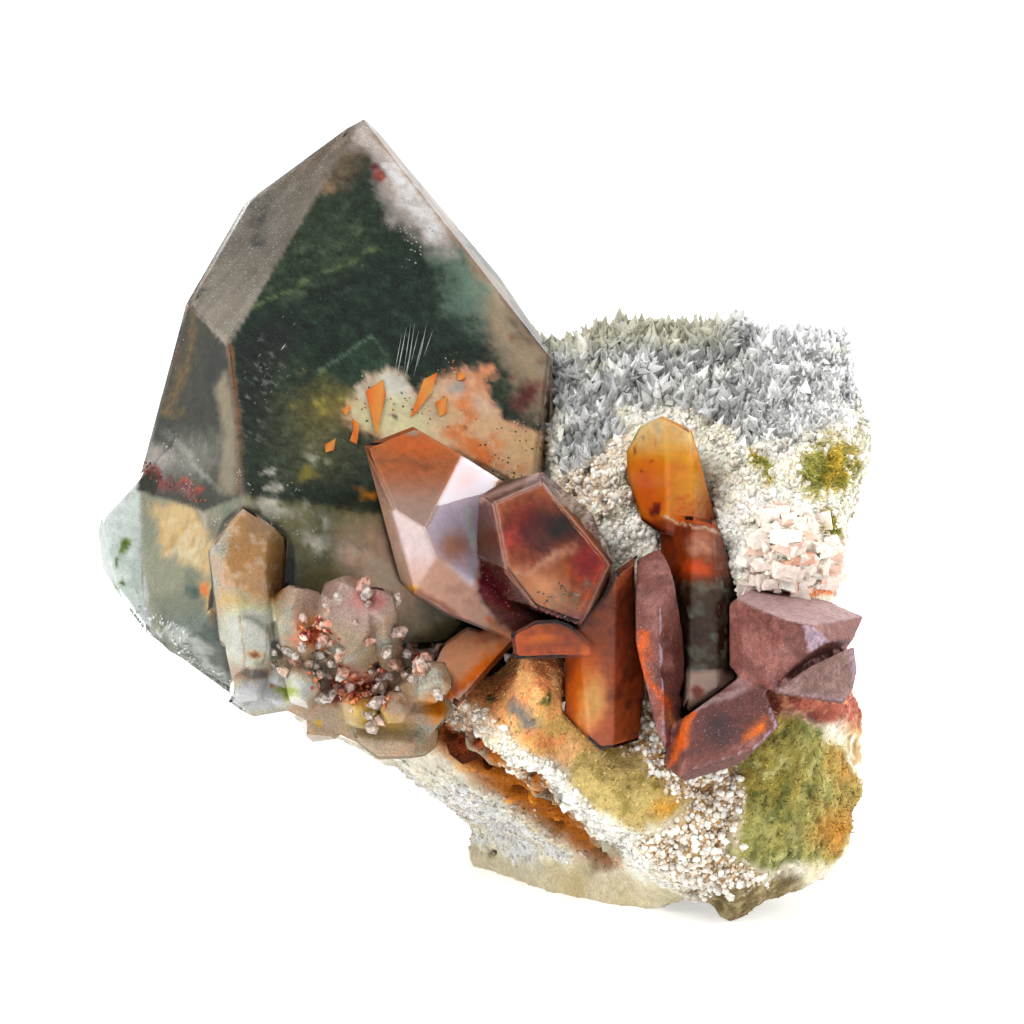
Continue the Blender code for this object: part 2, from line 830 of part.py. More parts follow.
def grown_together(name, group):
    """One body from the crystals of a group."""
    solids = [facet_crystal(label, heart, faces) for label, heart, faces in group]
    body = unite(solids[0], *solids[1:])
    body.name = name
    body.data.name = name
    return body


def carve(item, group):
    """Cut the sockets of a group of crystals, one gap wider than the crystals."""
    for label, heart, faces in group:
        combine(item, facet_crystal("socket_" + label, heart, faces, GAP), "DIFFERENCE")


def carve_points(item, points):
    for root, tip, radius, turn, flat in points:
        socket = quartz_point("socket_point", root, tip, radius, turn, flat, GAP)
        combine(item, socket, "DIFFERENCE")


def small_cluster():
    body = grown_together("small_crystals", VEIN_GROUP)
    for root, tip, radius, turn, flat in SMALL_POINTS:
        unite(body, quartz_point("point", root, tip, radius, turn, flat))
    return body


def centre(base):
    """Move the specimen so that its middle is over the origin."""
    corners = [vert.co + item.location for item in base.children for vert in item.data.vertices]
    for axis in (0, 1):
        values = [corner[axis] for corner in corners]
        base.location[axis] = -0.5 * (min(values) + max(values))
    bpy.context.view_layer.update()


def vein_rock():
    chance = random.Random(SEED)
    rock = rock_body(chance)
    unite(rock, facet_crystal("rear_block", REAR_HEART, REAR_FACES))
    unite(rock, facet_crystal("milky_base", BASE_HEART, BASE_FACES))
    tree = surface_tree(rock)
    pieces = druse_points(tree, chance) + crumbs(tree, chance)
    unite(rock, *pieces)
    for ball in hollows():
        combine(rock, ball, "DIFFERENCE")
    combine(rock, flat_ground(), "DIFFERENCE")
    return rock


def build():
    clear_scene()
    green = material("green_quartz", (0.30, 0.36, 0.30), 0.08, 0.0, 0.8)
    pink = material("pink_quartz", (0.80, 0.60, 0.54), 0.08, 0.0, 0.8)
    amber = material("amber_quartz", (0.62, 0.27, 0.12), 0.15, 0.0, 0.6)
    orange = material("orange_quartz", (0.85, 0.42, 0.12), 0.15, 0.0, 0.6)
    purple = material("purple_quartz", (0.40, 0.27, 0.29), 0.55, 0.0, 0.2)
    clear = material("clear_quartz", (0.80, 0.66, 0.58), 0.1, 0.0, 0.7)
    stone = material("vein_rock", (0.72, 0.68, 0.58), 0.85)

    base = bpy.data.objects.new("chlorite_quartz", None)
    bpy.context.scene.collection.objects.link(base)

    purple_body = grown_together("purple_crystals", PURPLE_GROUP)
    pink_body = grown_together("pink_crystals", PINK_GROUP)
    orange_body = grown_together("orange_crystal", ORANGE_GROUP)
    carve(orange_body, PURPLE_GROUP)
    amber_body = grown_together("amber_crystals", AMBER_GROUP)
    carve(amber_body, PURPLE_GROUP + PINK_GROUP + ORANGE_GROUP)
    main_body = grown_together("main_crystal", MAIN_GROUP)
    carve(main_body, PINK_GROUP + VEIN_GROUP)
    carve_points(main_body, SMALL_POINTS)
    small_body = small_cluster()
    carve(small_body, PINK_GROUP)

    rock = vein_rock()
    for group in (MAIN_GROUP, PINK_GROUP, ORANGE_GROUP, AMBER_GROUP, PURPLE_GROUP, VEIN_GROUP):
        carve(rock, group)
    carve_points(rock, SMALL_POINTS)

    finish(main_body, green, base)
    finish(pink_body, pink, base)
    finish(amber_body, amber, base)
    finish(orange_body, orange, base)
    finish(purple_body, purple, base)
    finish(small_body, clear, base)
    finish(rock, stone, base, 1.0)
    centre(base)


build()
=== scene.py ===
import math

import bmesh
import bpy
import numpy as np
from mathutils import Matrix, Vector
from mathutils.bvhtree import BVHTree


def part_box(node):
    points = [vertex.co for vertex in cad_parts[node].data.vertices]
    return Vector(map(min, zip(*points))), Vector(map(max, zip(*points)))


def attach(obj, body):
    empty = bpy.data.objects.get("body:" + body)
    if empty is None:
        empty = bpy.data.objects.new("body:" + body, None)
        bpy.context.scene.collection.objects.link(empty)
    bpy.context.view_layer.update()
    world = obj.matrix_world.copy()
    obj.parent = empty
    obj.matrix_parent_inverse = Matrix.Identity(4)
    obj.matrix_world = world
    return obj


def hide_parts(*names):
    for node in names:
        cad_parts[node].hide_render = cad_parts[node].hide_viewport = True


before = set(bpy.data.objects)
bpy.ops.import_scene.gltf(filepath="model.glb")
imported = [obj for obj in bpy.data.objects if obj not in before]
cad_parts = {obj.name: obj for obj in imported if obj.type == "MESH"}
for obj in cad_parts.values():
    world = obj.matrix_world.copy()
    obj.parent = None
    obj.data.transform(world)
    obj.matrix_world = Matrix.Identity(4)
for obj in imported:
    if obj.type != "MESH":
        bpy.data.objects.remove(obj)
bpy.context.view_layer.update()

MM = 0.001
QUARTZ_IOR = 1.544
DENSITY = 8.0          # of the absorption in clear quartz, for each metre
FROST = 0.42           # roughness that a satin face adds
EDGE = 0.09            # millimetres of rounding on a crystal edge
SEED = 4
LIGHTEST = 0.92        # the palest grain

# Camera
# The photograph's view: a long lens, ten degrees above the table.
IMAGE = 1024
LENS = 150.0
SENSOR = 36.0
TILT = math.radians(10)
DISTANCE = 0.555
LEFT_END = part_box("main_crystal")[0].x
FRONT_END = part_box("purple_crystals")[0].y
TARGET = Vector((LEFT_END + 53.56 * MM, FRONT_END + 37.84 * MM, 49.6 * MM))
FORWARD = Vector((0, math.cos(TILT), -math.sin(TILT)))
UP = Vector((0, math.sin(TILT), math.cos(TILT)))
EYE = TARGET - FORWARD * DISTANCE
FOCAL = LENS / SENSOR * IMAGE


def on_picture(points):
    """Where points fall in the picture, in pixels."""
    rel = np.asarray(points, float) - np.array(EYE)
    depth = rel @ np.array(FORWARD)
    px = IMAGE / 2 + FOCAL * rel[:, 0] / depth
    py = IMAGE / 2 - FOCAL * (rel @ np.array(UP)) / depth
    return np.stack([px, py], axis=1)


def sight_line(px, py):
    """Direction from the camera through a pixel."""
    side = (px - IMAGE / 2) / FOCAL
    lift = (IMAGE / 2 - py) / FOCAL
    return (FORWARD + Vector((1, 0, 0)) * side + UP * lift).normalized()


# Noise on arrays of points

def hashed(cells, seed):
    x, y, z = (cells[..., k].astype(np.int64) for k in range(3))
    h = (x * 374761393 + y * 668265263 + z * 2147483647 + seed * 144665) & 0xFFFFFFFF
    h = ((h ^ (h >> 13)) * 1274126177) & 0xFFFFFFFF
    h = ((h ^ (h >> 16)) * 2246822519) & 0xFFFFFFFF
    return ((h ^ (h >> 15)) & 0xFFFFFF) / float(0xFFFFFF)


def value_noise(points, size, seed=0):
    """Smooth noise from -1 to 1 with features of a given size."""
    p = np.asarray(points, float) / size
    base = np.floor(p)
    t = p - base
    t = t * t * (3 - 2 * t)
    total = np.zeros(len(p))
    for corner in range(8):
        step = np.array([corner & 1, corner >> 1 & 1, corner >> 2 & 1])
        weight = np.prod(np.where(step, t, 1 - t), axis=1)
        total += weight * hashed(base + step, seed)
    return total * 2 - 1


def fractal(points, size, octaves=4, seed=0):
    total = np.zeros(len(points))
    gain = 0.5
    for k in range(octaves):
        total += gain * value_noise(points, size / 2 ** k, seed + 17 * k)
        gain *= 0.5
    return total


def cell_noise(points, size, seed=0):
    """Distance to the nearest and to the second nearest of scattered cell centres."""
    p = np.asarray(points, float) / size
    base = np.floor(p)
    first = np.full(len(p), 9.0)
    second = np.full(len(p), 9.0)
    shade = np.zeros(len(p))
    for dx in (-1, 0, 1):
        for dy in (-1, 0, 1):
            for dz in (-1, 0, 1):
                cell = base + np.array([dx, dy, dz])
                spot = cell + np.stack([hashed(cell, seed + k) for k in range(3)], axis=1)
                d = np.linalg.norm(p - spot, axis=1)
                nearer = d < first
                second = np.where(nearer, first, np.minimum(second, d))
                shade = np.where(nearer, hashed(cell, seed + 7), shade)
                first = np.where(nearer, d, first)
    return first, second, shade


def smooth(low, high, value):
    t = np.clip((value - low) / (high - low), 0, 1)
    return t * t * (3 - 2 * t)


# Meshes

def link(name, mesh):
    item = bpy.data.objects.new(name, mesh)
    bpy.context.scene.collection.objects.link(item)
    return item


def piece(name, mesh, stands_for=None):
    """A mesh as a piece of the one body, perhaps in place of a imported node."""
    item = link(name, mesh)
    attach(item, "root")
    if stands_for:
        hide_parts(stands_for)
    return item


def corners(mesh):
    co = np.zeros(len(mesh.vertices) * 3, np.float32)
    mesh.vertices.foreach_get("co", co)
    return co.reshape(-1, 3).astype(float)


def set_corners(mesh, co):
    mesh.vertices.foreach_set("co", np.asarray(co, np.float32).ravel())
    mesh.update()


def corner_normals(mesh):
    n = np.zeros(len(mesh.vertices) * 3, np.float32)
    mesh.vertices.foreach_get("normal", n)
    return n.reshape(-1, 3).astype(float)


def put_value(mesh, name, values, domain="POINT"):
    layer = mesh.attributes.new(name, "FLOAT", domain)
    layer.data.foreach_set("value", np.asarray(values, np.float32))


def put_colour(mesh, name, colours):
    layer = mesh.attributes.new(name, "FLOAT_COLOR", "POINT")
    rgba = np.ones((len(colours), 4), np.float32)
    rgba[:, :3] = colours
    layer.data.foreach_set("color", rgba.ravel())


def clean_copy(node, name):
    """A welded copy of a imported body, with its flat faces whole again."""
    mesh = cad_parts[node].data.copy()
    mesh.name = name
    bm = bmesh.new()
    bm.from_mesh(mesh)
    bmesh.ops.remove_doubles(bm, verts=bm.verts[:], dist=0.002 * MM)
    bmesh.ops.dissolve_limit(bm, angle_limit=math.radians(0.5), verts=bm.verts[:],
                             edges=bm.edges[:])
    bmesh.ops.recalc_face_normals(bm, faces=bm.faces[:])
    bm.to_mesh(mesh)
    bm.free()
    mesh.materials.clear()
    if mesh.attributes.get("custom_normal"):
        mesh.attributes.remove(mesh.attributes["custom_normal"])
    return mesh


def bevel_edges(mesh, width, least_angle=18.0):
    """Narrow rounded edges, as a natural crystal has."""
    bm = bmesh.new()
    bm.from_mesh(mesh)
    sharp = [e for e in bm.edges if len(e.link_faces) == 2 and
             e.calc_face_angle(0.0) > math.radians(least_angle)]
    bmesh.ops.bevel(bm, geom=sharp, offset=width, segments=2, profile=0.6, affect="EDGES",
                    clamp_overlap=True)
    bm.to_mesh(mesh)
    bm.free()


def evaluated(item):
    graph = bpy.context.evaluated_depsgraph_get()
    return bpy.data.meshes.new_from_object(item.evaluated_get(graph))


def inner_shell(node, depth, voxel, name):
    """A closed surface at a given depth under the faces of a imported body."""
    source = link(name + "_source", clean_copy(node, name + "_source"))
    fog = bpy.data.objects.new(name + "_fog", bpy.data.volumes.new(name + "_fog"))
    bpy.context.scene.collection.objects.link(fog)
    fill = fog.modifiers.new("fill", "MESH_TO_VOLUME")
    fill.object = source
    fill.resolution_mode = "VOXEL_SIZE"
    fill.voxel_size = voxel
    fill.interior_band_width = 2 * depth
    skin = link(name + "_skin", bpy.data.meshes.new(name + "_skin"))
    draw = skin.modifiers.new("skin", "VOLUME_TO_MESH")
    draw.object = fog
    draw.resolution_mode = "VOXEL_SIZE"
    draw.voxel_size = voxel
    draw.threshold = 0.5
    mesh = evaluated(skin)
    mesh.name = name
    for item in (skin, fog, source):
        bpy.data.objects.remove(item, do_unlink=True)
    return mesh


def shade_smooth(mesh):
    mesh.polygons.foreach_set("use_smooth", [True] * len(mesh.polygons))
    mesh.update()


# Painting on points
# A paint job starts from one colour and lays soft spots, strokes and areas over it. Places and
# sizes are in pixels of the picture, angles in degrees, and colours are screen colours.

def rgb(red, green, blue):
    """A screen colour as linear light."""
    return tuple(((k / 255 + 0.055) / 1.055) ** 2.4 if k > 10 else k / 255 / 12.92
                 for k in (red, green, blue))


class Paint:
    def __init__(self, points, colour, cover=1.0, seed=0):
        self.points = points
        self.view = on_picture(points)
        self.colour = np.tile(np.array(colour, float), (len(points), 1))
        self.cover = np.full(len(points), float(cover))
        self.wave = np.stack([fractal(points, 7 * MM, 4, seed + 1),
                              fractal(points, 7 * MM, 4, seed + 2)], axis=1)
        self.fine = np.stack([fractal(points, 1.8 * MM, 3, seed + 3),
                              fractal(points, 1.8 * MM, 3, seed + 4)], axis=1)
        self.grit = np.stack([fractal(points, 0.6 * MM, 2, seed + 5),
                              fractal(points, 0.6 * MM, 2, seed + 6)], axis=1)

    def warped(self, rough):
        return self.view + rough * (16 * self.wave + 7 * self.fine + 4 * self.grit)

    def spot(self, x, y, width, height, angle=0.0, soft=0.9, rough=1.0):
        """One inside an ellipse and falling to zero at its rim."""
        rel = self.warped(rough) - np.array([x, y])
        a = math.radians(angle)
        u = rel[:, 0] * math.cos(a) + rel[:, 1] * math.sin(a)
        v = -rel[:, 0] * math.sin(a) + rel[:, 1] * math.cos(a)
        d = np.sqrt((u / (width / 2)) ** 2 + (v / (height / 2)) ** 2)
        return 1 - smooth(1 - soft, 1 + soft * 0.4, d)

    def stroke(self, x0, y0, x1, y1, width, soft=0.9, rough=0.8):
        """One along a line and falling to zero at its sides."""
        p = self.warped(rough)
        a = np.array([x0, y0], float)
        b = np.array([x1, y1], float)
        t = np.clip((p - a) @ (b - a) / ((b - a) @ (b - a)), 0, 1)
        d = np.linalg.norm(p - a - t[:, None] * (b - a), axis=1) / (width / 2)
        return 1 - smooth(1 - soft, 1 + soft * 0.4, d)

    def area(self, outline, soft=6.0, rough=0.6):
        """One inside a polygon, with a soft rim that many pixels wide."""
        p = self.warped(rough)
        inside = np.zeros(len(p), bool)
        far = np.full(len(p), 1e9)
        for (ax, ay), (bx, by) in zip(outline, outline[1:] + outline[:1]):
            crosses = (ay > p[:, 1]) != (by > p[:, 1])
            at = ax + (p[:, 1] - ay) * (bx - ax) / (by - ay if by != ay else 1e-9)
            inside ^= crosses & (p[:, 0] < at)
            a = np.array([ax, ay], float)
            b = np.array([bx, by], float)
            t = np.clip((p - a) @ (b - a) / max((b - a) @ (b - a), 1e-9), 0, 1)
            far = np.minimum(far, np.linalg.norm(p - a - t[:, None] * (b - a), axis=1))
        return smooth(-soft, soft, np.where(inside, far, -far))

    def lay(self, colour, mask, cover=None):
        """Lay a colour where the mask is one, and the share of dust that lies there."""
        m = np.broadcast_to(np.clip(mask, 0, 1), len(self.points))[:, None]
        self.colour = self.colour * (1 - m) + np.array(rgb(*colour)) * m
        if cover is not None:
            self.cover = self.cover * (1 - m[:, 0]) + cover * m[:, 0]

    def store(self, mesh):
        put_colour(mesh, "tint", np.clip(self.colour, 0, 1))
        put_value(mesh, "cover", np.clip(self.cover, 0, 1))


# Materials

class Nodes:
    """Short calls for building a material's nodes."""

    def __init__(self, name):
        self.material = bpy.data.materials.new(name)
        self.material.use_nodes = True
        self.tree = self.material.node_tree
        self.shader = self.tree.nodes["Principled BSDF"]
        self.output = self.tree.nodes["Material Output"]

    def add(self, kind, **values):
        node = self.tree.nodes.new(kind)
        for key, value in values.items():
            setattr(node, key, value)
        return node

    def join(self, source, target):
        self.tree.links.new(source, target)

    def feed(self, socket, value):
        if isinstance(value, bpy.types.NodeSocket):
            self.join(value, socket)
        else:
            socket.default_value = value

    def attribute(self, name, colour=False):
        node = self.add("ShaderNodeAttribute", attribute_name=name)
        return node.outputs["Color" if colour else "Fac"]

    def place(self, scale=(1, 1, 1), turn=(0, 0, 0)):
        """Object coordinates in millimetres, stretched and turned."""
        where = self.add("ShaderNodeTexCoord")
        fit = self.add("ShaderNodeMapping")
        fit.inputs["Scale"].default_value = [k / MM for k in scale]
        fit.inputs["Rotation"].default_value = [math.radians(k) for k in turn]
        self.join(where.outputs["Object"], fit.inputs["Vector"])
        return fit.outputs["Vector"]

    def noise(self, scale, detail=4.0, roughness=0.55, vector=None):
        node = self.add("ShaderNodeTexNoise")
        node.inputs["Scale"].default_value = scale
        node.inputs["Detail"].default_value = detail
        node.inputs["Roughness"].default_value = roughness
        self.join(vector if vector is not None else self.place(), node.inputs["Vector"])
        return node.outputs["Fac"]

    def cells(self, scale):
        node = self.add("ShaderNodeTexVoronoi")
        node.inputs["Scale"].default_value = scale
        self.join(self.place(), node.inputs["Vector"])
        return node.outputs["Distance"]

    def ramp(self, value, low, high, out_low=0.0, out_high=1.0, soft=True):
        node = self.add("ShaderNodeMapRange")
        node.interpolation_type = "SMOOTHSTEP" if soft else "LINEAR"
        self.feed(node.inputs["Value"], value)
        node.inputs["From Min"].default_value = low
        node.inputs["From Max"].default_value = high
        node.inputs["To Min"].default_value = out_low
        node.inputs["To Max"].default_value = out_high
        return node.outputs["Result"]

    def maths(self, operation, a, b=0.0, c=0.0):
        node = self.add("ShaderNodeMath", operation=operation)
        for socket, value in zip(node.inputs, (a, b, c)):
            self.feed(socket, value)
        return node.outputs[0]

    def mix(self, factor, a, b, blend="MIX"):
        node = self.add("ShaderNodeMix", data_type="RGBA", blend_type=blend)
        self.feed(node.inputs[0], factor)
        self.feed(node.inputs[6], a if isinstance(a, bpy.types.NodeSocket) else (*a, 1.0))
        self.feed(node.inputs[7], b if isinstance(b, bpy.types.NodeSocket) else (*b, 1.0))
        return node.outputs[2]

    def bump(self, height, distance, strength=1.0, before=None):
        node = self.add("ShaderNodeBump")
        node.inputs["Distance"].default_value = distance * MM
        node.inputs["Strength"].default_value = strength
        self.join(height, node.inputs["Height"])
        if before is not None:
            self.join(before, node.inputs["Normal"])
        return node.outputs["Normal"]

    def set(self, **values):
        names = {"colour": "Base Color", "roughness": "Roughness", "normal": "Normal",
                 "alpha": "Alpha", "ior": "IOR", "transmission": "Transmission Weight",
                 "specular": "Specular IOR Level"}
        for key, value in values.items():
            if key == "colour" and not isinstance(value, bpy.types.NodeSocket):
                value = (*value, 1.0)
            self.feed(self.shader.inputs[names[key]], value)
        return self.material


def quartz_skin(name, absorb, roughness, turn=(0, 34, 0), relief=0.012):
    """Clear quartz: transmission, its index of refraction, and an absorbing inside.

    Fine growth lines run across the faces, turned by the angles given."""
    n = Nodes(name)
    lines = n.noise(1.0, 2.0, 0.6, n.place((0.25, 0.25, 2.6), turn))
    waves = n.noise(0.22, 1.0, 0.5)
    normal = n.bump(lines, relief, 0.5)
    normal = n.bump(waves, 4 * relief, 0.35, normal)
    rough = n.ramp(n.noise(3.5, 1.0, 0.6), 0.35, 0.75, roughness, roughness + 0.06)
    rough = n.maths("ADD", rough, n.maths("MULTIPLY", n.attribute("frost"), FROST))
    n.set(colour=(1.0, 1.0, 1.0), roughness=rough, transmission=1.0, ior=QUARTZ_IOR,
          normal=normal)
    inside = n.add("ShaderNodeVolumeAbsorption")
    inside.inputs["Color"].default_value = (*absorb, 1.0)
    inside.inputs["Density"].default_value = DENSITY
    n.join(inside.outputs["Volume"], n.output.inputs["Volume"])
    return n.material


def inclusion(name, speck, speck_size, clear, bright, roughness=0.5):
    """Mineral dust on a surface inside a crystal. Its cover thins out into grains.

    speck is how much its tone varies, speck_size the grains in a millimetre, clear how softly
    the cover ends, and bright the share of pale grains."""
    n = Nodes(name)
    tint = n.attribute("tint", True)
    grain = n.noise(speck_size, 4.0, 0.7)
    tone = n.noise(0.9, 4.0, 0.65)
    grey = n.add("ShaderNodeRGBToBW")
    n.join(tint, grey.inputs["Color"])
    calm = n.ramp(grey.outputs["Val"], 0.05, 0.35, 1.0, 0.22)
    shade = n.maths("MULTIPLY_ADD", n.ramp(tone, 0.3, 0.7, -speck, speck, False), calm, 1.0)
    darker = n.mix(1.0, tint, shade, "MULTIPLY")
    light = n.maths("MULTIPLY", n.ramp(grain, 0.56, 0.70, 0.0, bright), calm)
    pale = n.mix(0.5, tint, rgb(206, 210, 196))
    edge = n.maths("ADD", n.attribute("cover"), n.maths("SUBTRACT", grain, 0.5))
    n.set(colour=n.mix(light, darker, pale), roughness=roughness,
          alpha=n.ramp(edge, 0.5 - clear, 0.5 + clear), normal=n.bump(grain, 0.08, 0.6),
          specular=0.3)
    return n.material


def graded(colours, saturation, gain):
    """Stronger and lighter colours, to make up for the pale reflection of the glass above."""
    grey = colours.mean(axis=1, keepdims=True)
    return np.clip((grey + (colours - grey) * saturation) * gain, 0.004, 0.93)


def facing(compass, slope):
    a = math.radians(compass)
    e = math.radians(slope)
    return Vector((math.cos(a) * math.cos(e), math.sin(a) * math.cos(e), math.sin(e)))


def crystal_skin(node, material, frosts=()):
    """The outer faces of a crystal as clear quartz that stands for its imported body.

    frosts gives satin faces by compass and slope, and how strong the satin is."""
    mesh = clean_copy(node, node + "_skin")
    bevel_edges(mesh, EDGE * MM)
    satin = np.zeros(len(mesh.polygons))
    for compass, slope, strength in frosts:
        for k, face in enumerate(mesh.polygons):
            if face.normal.angle(facing(compass, slope)) < math.radians(4):
                satin[k] = strength
    put_value(mesh, "frost", satin, "FACE")
    mesh.materials.append(material)
    piece(node + "_skin", mesh, node)


def inner_surface(node, name, paint_job, material, depth, voxel, seed, wobble=0.12,
                  grade=(1.0, 1.0)):
    """A painted layer of dust under the faces of a crystal.

    depth, voxel and wobble are in millimetres, and grade is saturation and gain."""
    mesh = inner_shell(node, depth * MM, voxel * MM, name)
    co = corners(mesh)
    co += corner_normals(mesh) * (fractal(co, 2.2 * MM, 4, seed) * wobble * MM)[:, None]
    set_corners(mesh, co)
    paint = Paint(co, (0.5, 0.5, 0.5), seed=seed)
    paint_job(paint)
    paint.colour = graded(paint.colour, *grade)
    paint.store(mesh)
    shade_smooth(mesh)
    mesh.materials.append(material)
    piece(name, mesh)


# Paint jobs of the crystals

DEEP_GREEN = (33, 48, 38)
MOSS_GREEN = (74, 84, 66)
LEAF_GREEN = (104, 116, 92)
ORANGE = (240, 122, 42)

SATIN_FACE = [(364, 118), (246, 200), (187, 301), (228, 346)]
CLEAR_ZONE = [(352, 120), (372, 120), (456, 242), (448, 256), (432, 250), (422, 238), (403, 222),
              (384, 206), (374, 166), (350, 146)]
CREAM_ZONE = [(358, 390), (380, 372), (400, 376), (410, 392), (423, 378), (437, 364), (467, 367),
              (490, 377), (500, 402), (510, 420), (537, 424), (550, 440), (544, 500), (440, 500),
              (376, 440), (350, 436), (344, 410)]
FLAMES = ([(366, 391), (383, 379), (386, 394), (377, 437)],
          [(410, 418), (424, 379), (438, 372), (431, 393), (418, 410)],
          [(352, 418), (360, 424), (357, 444), (350, 440), (354, 428)],
          [(342, 410), (348, 404), (351, 408), (346, 415)],
          [(325, 444), (336, 438), (334, 450), (326, 452)],
          [(436, 402), (446, 396), (447, 412), (440, 416)],
          [(458, 372), (466, 373), (465, 379), (458, 380)])
FLAME_TONES = (rgb(255, 132, 36), rgb(255, 186, 96))
WISPS = ((402, 334, 395, 372, 0.7), (407, 326, 396, 382, 1.1), (411, 324, 404, 372, 0.7),
         (415, 323, 406, 381, 1.0), (419, 330, 411, 364, 0.7), (427, 323, 418, 366, 0.9),
         (433, 330, 424, 356, 0.6), (412, 346, 403, 386, 0.7), (423, 338, 414, 376, 0.8),
         (286, 343, 281, 350, 1.4))
DASHES = 30


def bands(paint, x0, y0, x1, y1, spacing, seed):
    """Broken fine lines that run in one direction across the picture."""
    along_x, along_y = x1 - x0, y1 - y0
    length = math.hypot(along_x, along_y)
    rel = paint.view - np.array([x0, y0])
    across = (-rel[:, 0] * along_y + rel[:, 1] * along_x) / length + 3 * paint.wave[:, 0]
    run = (rel[:, 0] * along_x + rel[:, 1] * along_y) / length
    grid = np.stack([run / 34, across / spacing, np.zeros(len(run))], axis=1)
    return smooth(0.05, 0.55, value_noise(grid, 1.0, seed))


def red_line(paint, first=7, second=8, rough=0.8):
    """The red seam at the left edge of the large crystal."""
    return np.maximum(paint.stroke(144, 456, 160, 482, first, 0.7, rough),
                      paint.stroke(160, 482, 204, 498, second, 0.7, rough))


def green_left_side(paint):
    lay, spot, stroke, area = paint.lay, paint.spot, paint.stroke, paint.area
    side = area([(187, 300), (228, 346), (243, 497), (206, 512), (138, 490), (142, 440)], 2, 0.05)
    lay((46, 48, 28), side, 0.94)
    lay((20, 26, 18), side * spot(214, 372, 26, 90, -4, 0.9, 1.2) * 0.9)
    lay((24, 30, 16), side * spot(163, 420, 34, 70, 18, 0.9, 1.4) * 0.9)
    lay((112, 90, 44), side * stroke(191, 312, 180, 410, 15, 0.9, 1.2) * 0.8)
    lay((166, 156, 134), side * stroke(224, 384, 234, 488, 22, 0.9, 0.7) * 0.9)
    lay((150, 148, 138), side * spot(192, 462, 72, 62, 35, 0.9, 1.2) * 0.85)
    lay((206, 200, 194), side * spot(160, 456, 30, 40, 10, 0.9, 1.2) * 0.8)
    lay((206, 206, 198), side * bands(paint, 160, 430, 220, 490, 5, 7) *
        spot(192, 465, 90, 70, 35, 0.8, 0.6) * 0.5)
    rim = stroke(190, 300, 144, 436, 13, 0.9, 1.2)
    lay((118, 66, 54), rim * smooth(-0.25, 0.25, paint.fine[:, 0]), 0.9)
    lay((150, 104, 72), stroke(230, 346, 243, 494, 5, 0.8, 0.2) * 0.5)


def green_lower_left(paint, fog):
    lay, spot, stroke, area = paint.lay, paint.spot, paint.stroke, paint.area
    low = area([(128, 484), (206, 506), (243, 495), (262, 560), (262, 700), (150, 660)], 8)
    lay((172, 172, 150), low, 0.72)
    lay((134, 140, 122), low * smooth(-0.1, 0.4, fog) * 0.8)
    lay((196, 196, 176), stroke(140, 496, 150, 600, 22) * 0.8, 0.6)
    chunk = area([(158, 503), (200, 505), (222, 560), (214, 576), (190, 572), (176, 560), (161, 528)],
                 6, 1.4)
    lay((220, 198, 154), chunk, 0.9)
    lay((196, 162, 112), chunk * smooth(0.0, 0.4, paint.fine[:, 0]) * 0.8)
    lay((238, 228, 204), chunk * smooth(0.1, 0.4, paint.fine[:, 1]) * 0.8)
    lay((150, 138, 118), stroke(206, 512, 226, 572, 15, 0.8, 0.6) * 0.85, 0.85)
    lay((208, 204, 194), stroke(206, 512, 226, 572, 12, 0.8, 0.6) *
        bands(paint, 206, 512, 226, 572, 4, 9) * 0.8)
    lay((224, 188, 124), area([(200, 586), (232, 570), (276, 610), (262, 634), (214, 624)], 6, 1.0) *
        0.9, 0.85)
    lay((72, 98, 88), spot(195, 594, 17, 17, 0, 0.5, 0.6), 0.95)
    lay(ORANGE, spot(206, 588, 9, 16, 10, 0.6, 0.8) * 0.8, 0.9)
    lay((136, 150, 146), spot(200, 648, 90, 60, 35, 0.9, 0.8) * 0.8, 0.6)
    lay((104, 118, 112), spot(206, 636, 34, 44, 20) * 0.7, 0.7)
    band = stroke(143, 612, 242, 694, 18, 0.8, 1.4)
    lay((226, 228, 222), band * smooth(-0.3, 0.1, paint.fine[:, 1]), 0.9)
    shell = area([(90, 520), (138, 468), (143, 520), (150, 600), (156, 632), (110, 620)], 3, 0.5)
    lay((226, 232, 228), shell, 0.78)
    lay((186, 200, 192), shell * smooth(0.0, 0.35, paint.fine[:, 0]) * 0.6)
    for x, y, width, height in ((125, 546, 15, 24), (115, 562, 8, 12), (123, 583, 10, 9),
                                (123, 605, 7, 12), (141, 586, 4, 8)):
        lay((104, 124, 40), spot(x, y, width, height, 20, 0.5, 0.9), 1.0)
        lay((66, 84, 22), spot(x, y, width * 0.5, height * 0.5, 20, 0.8, 1.2), 1.0)


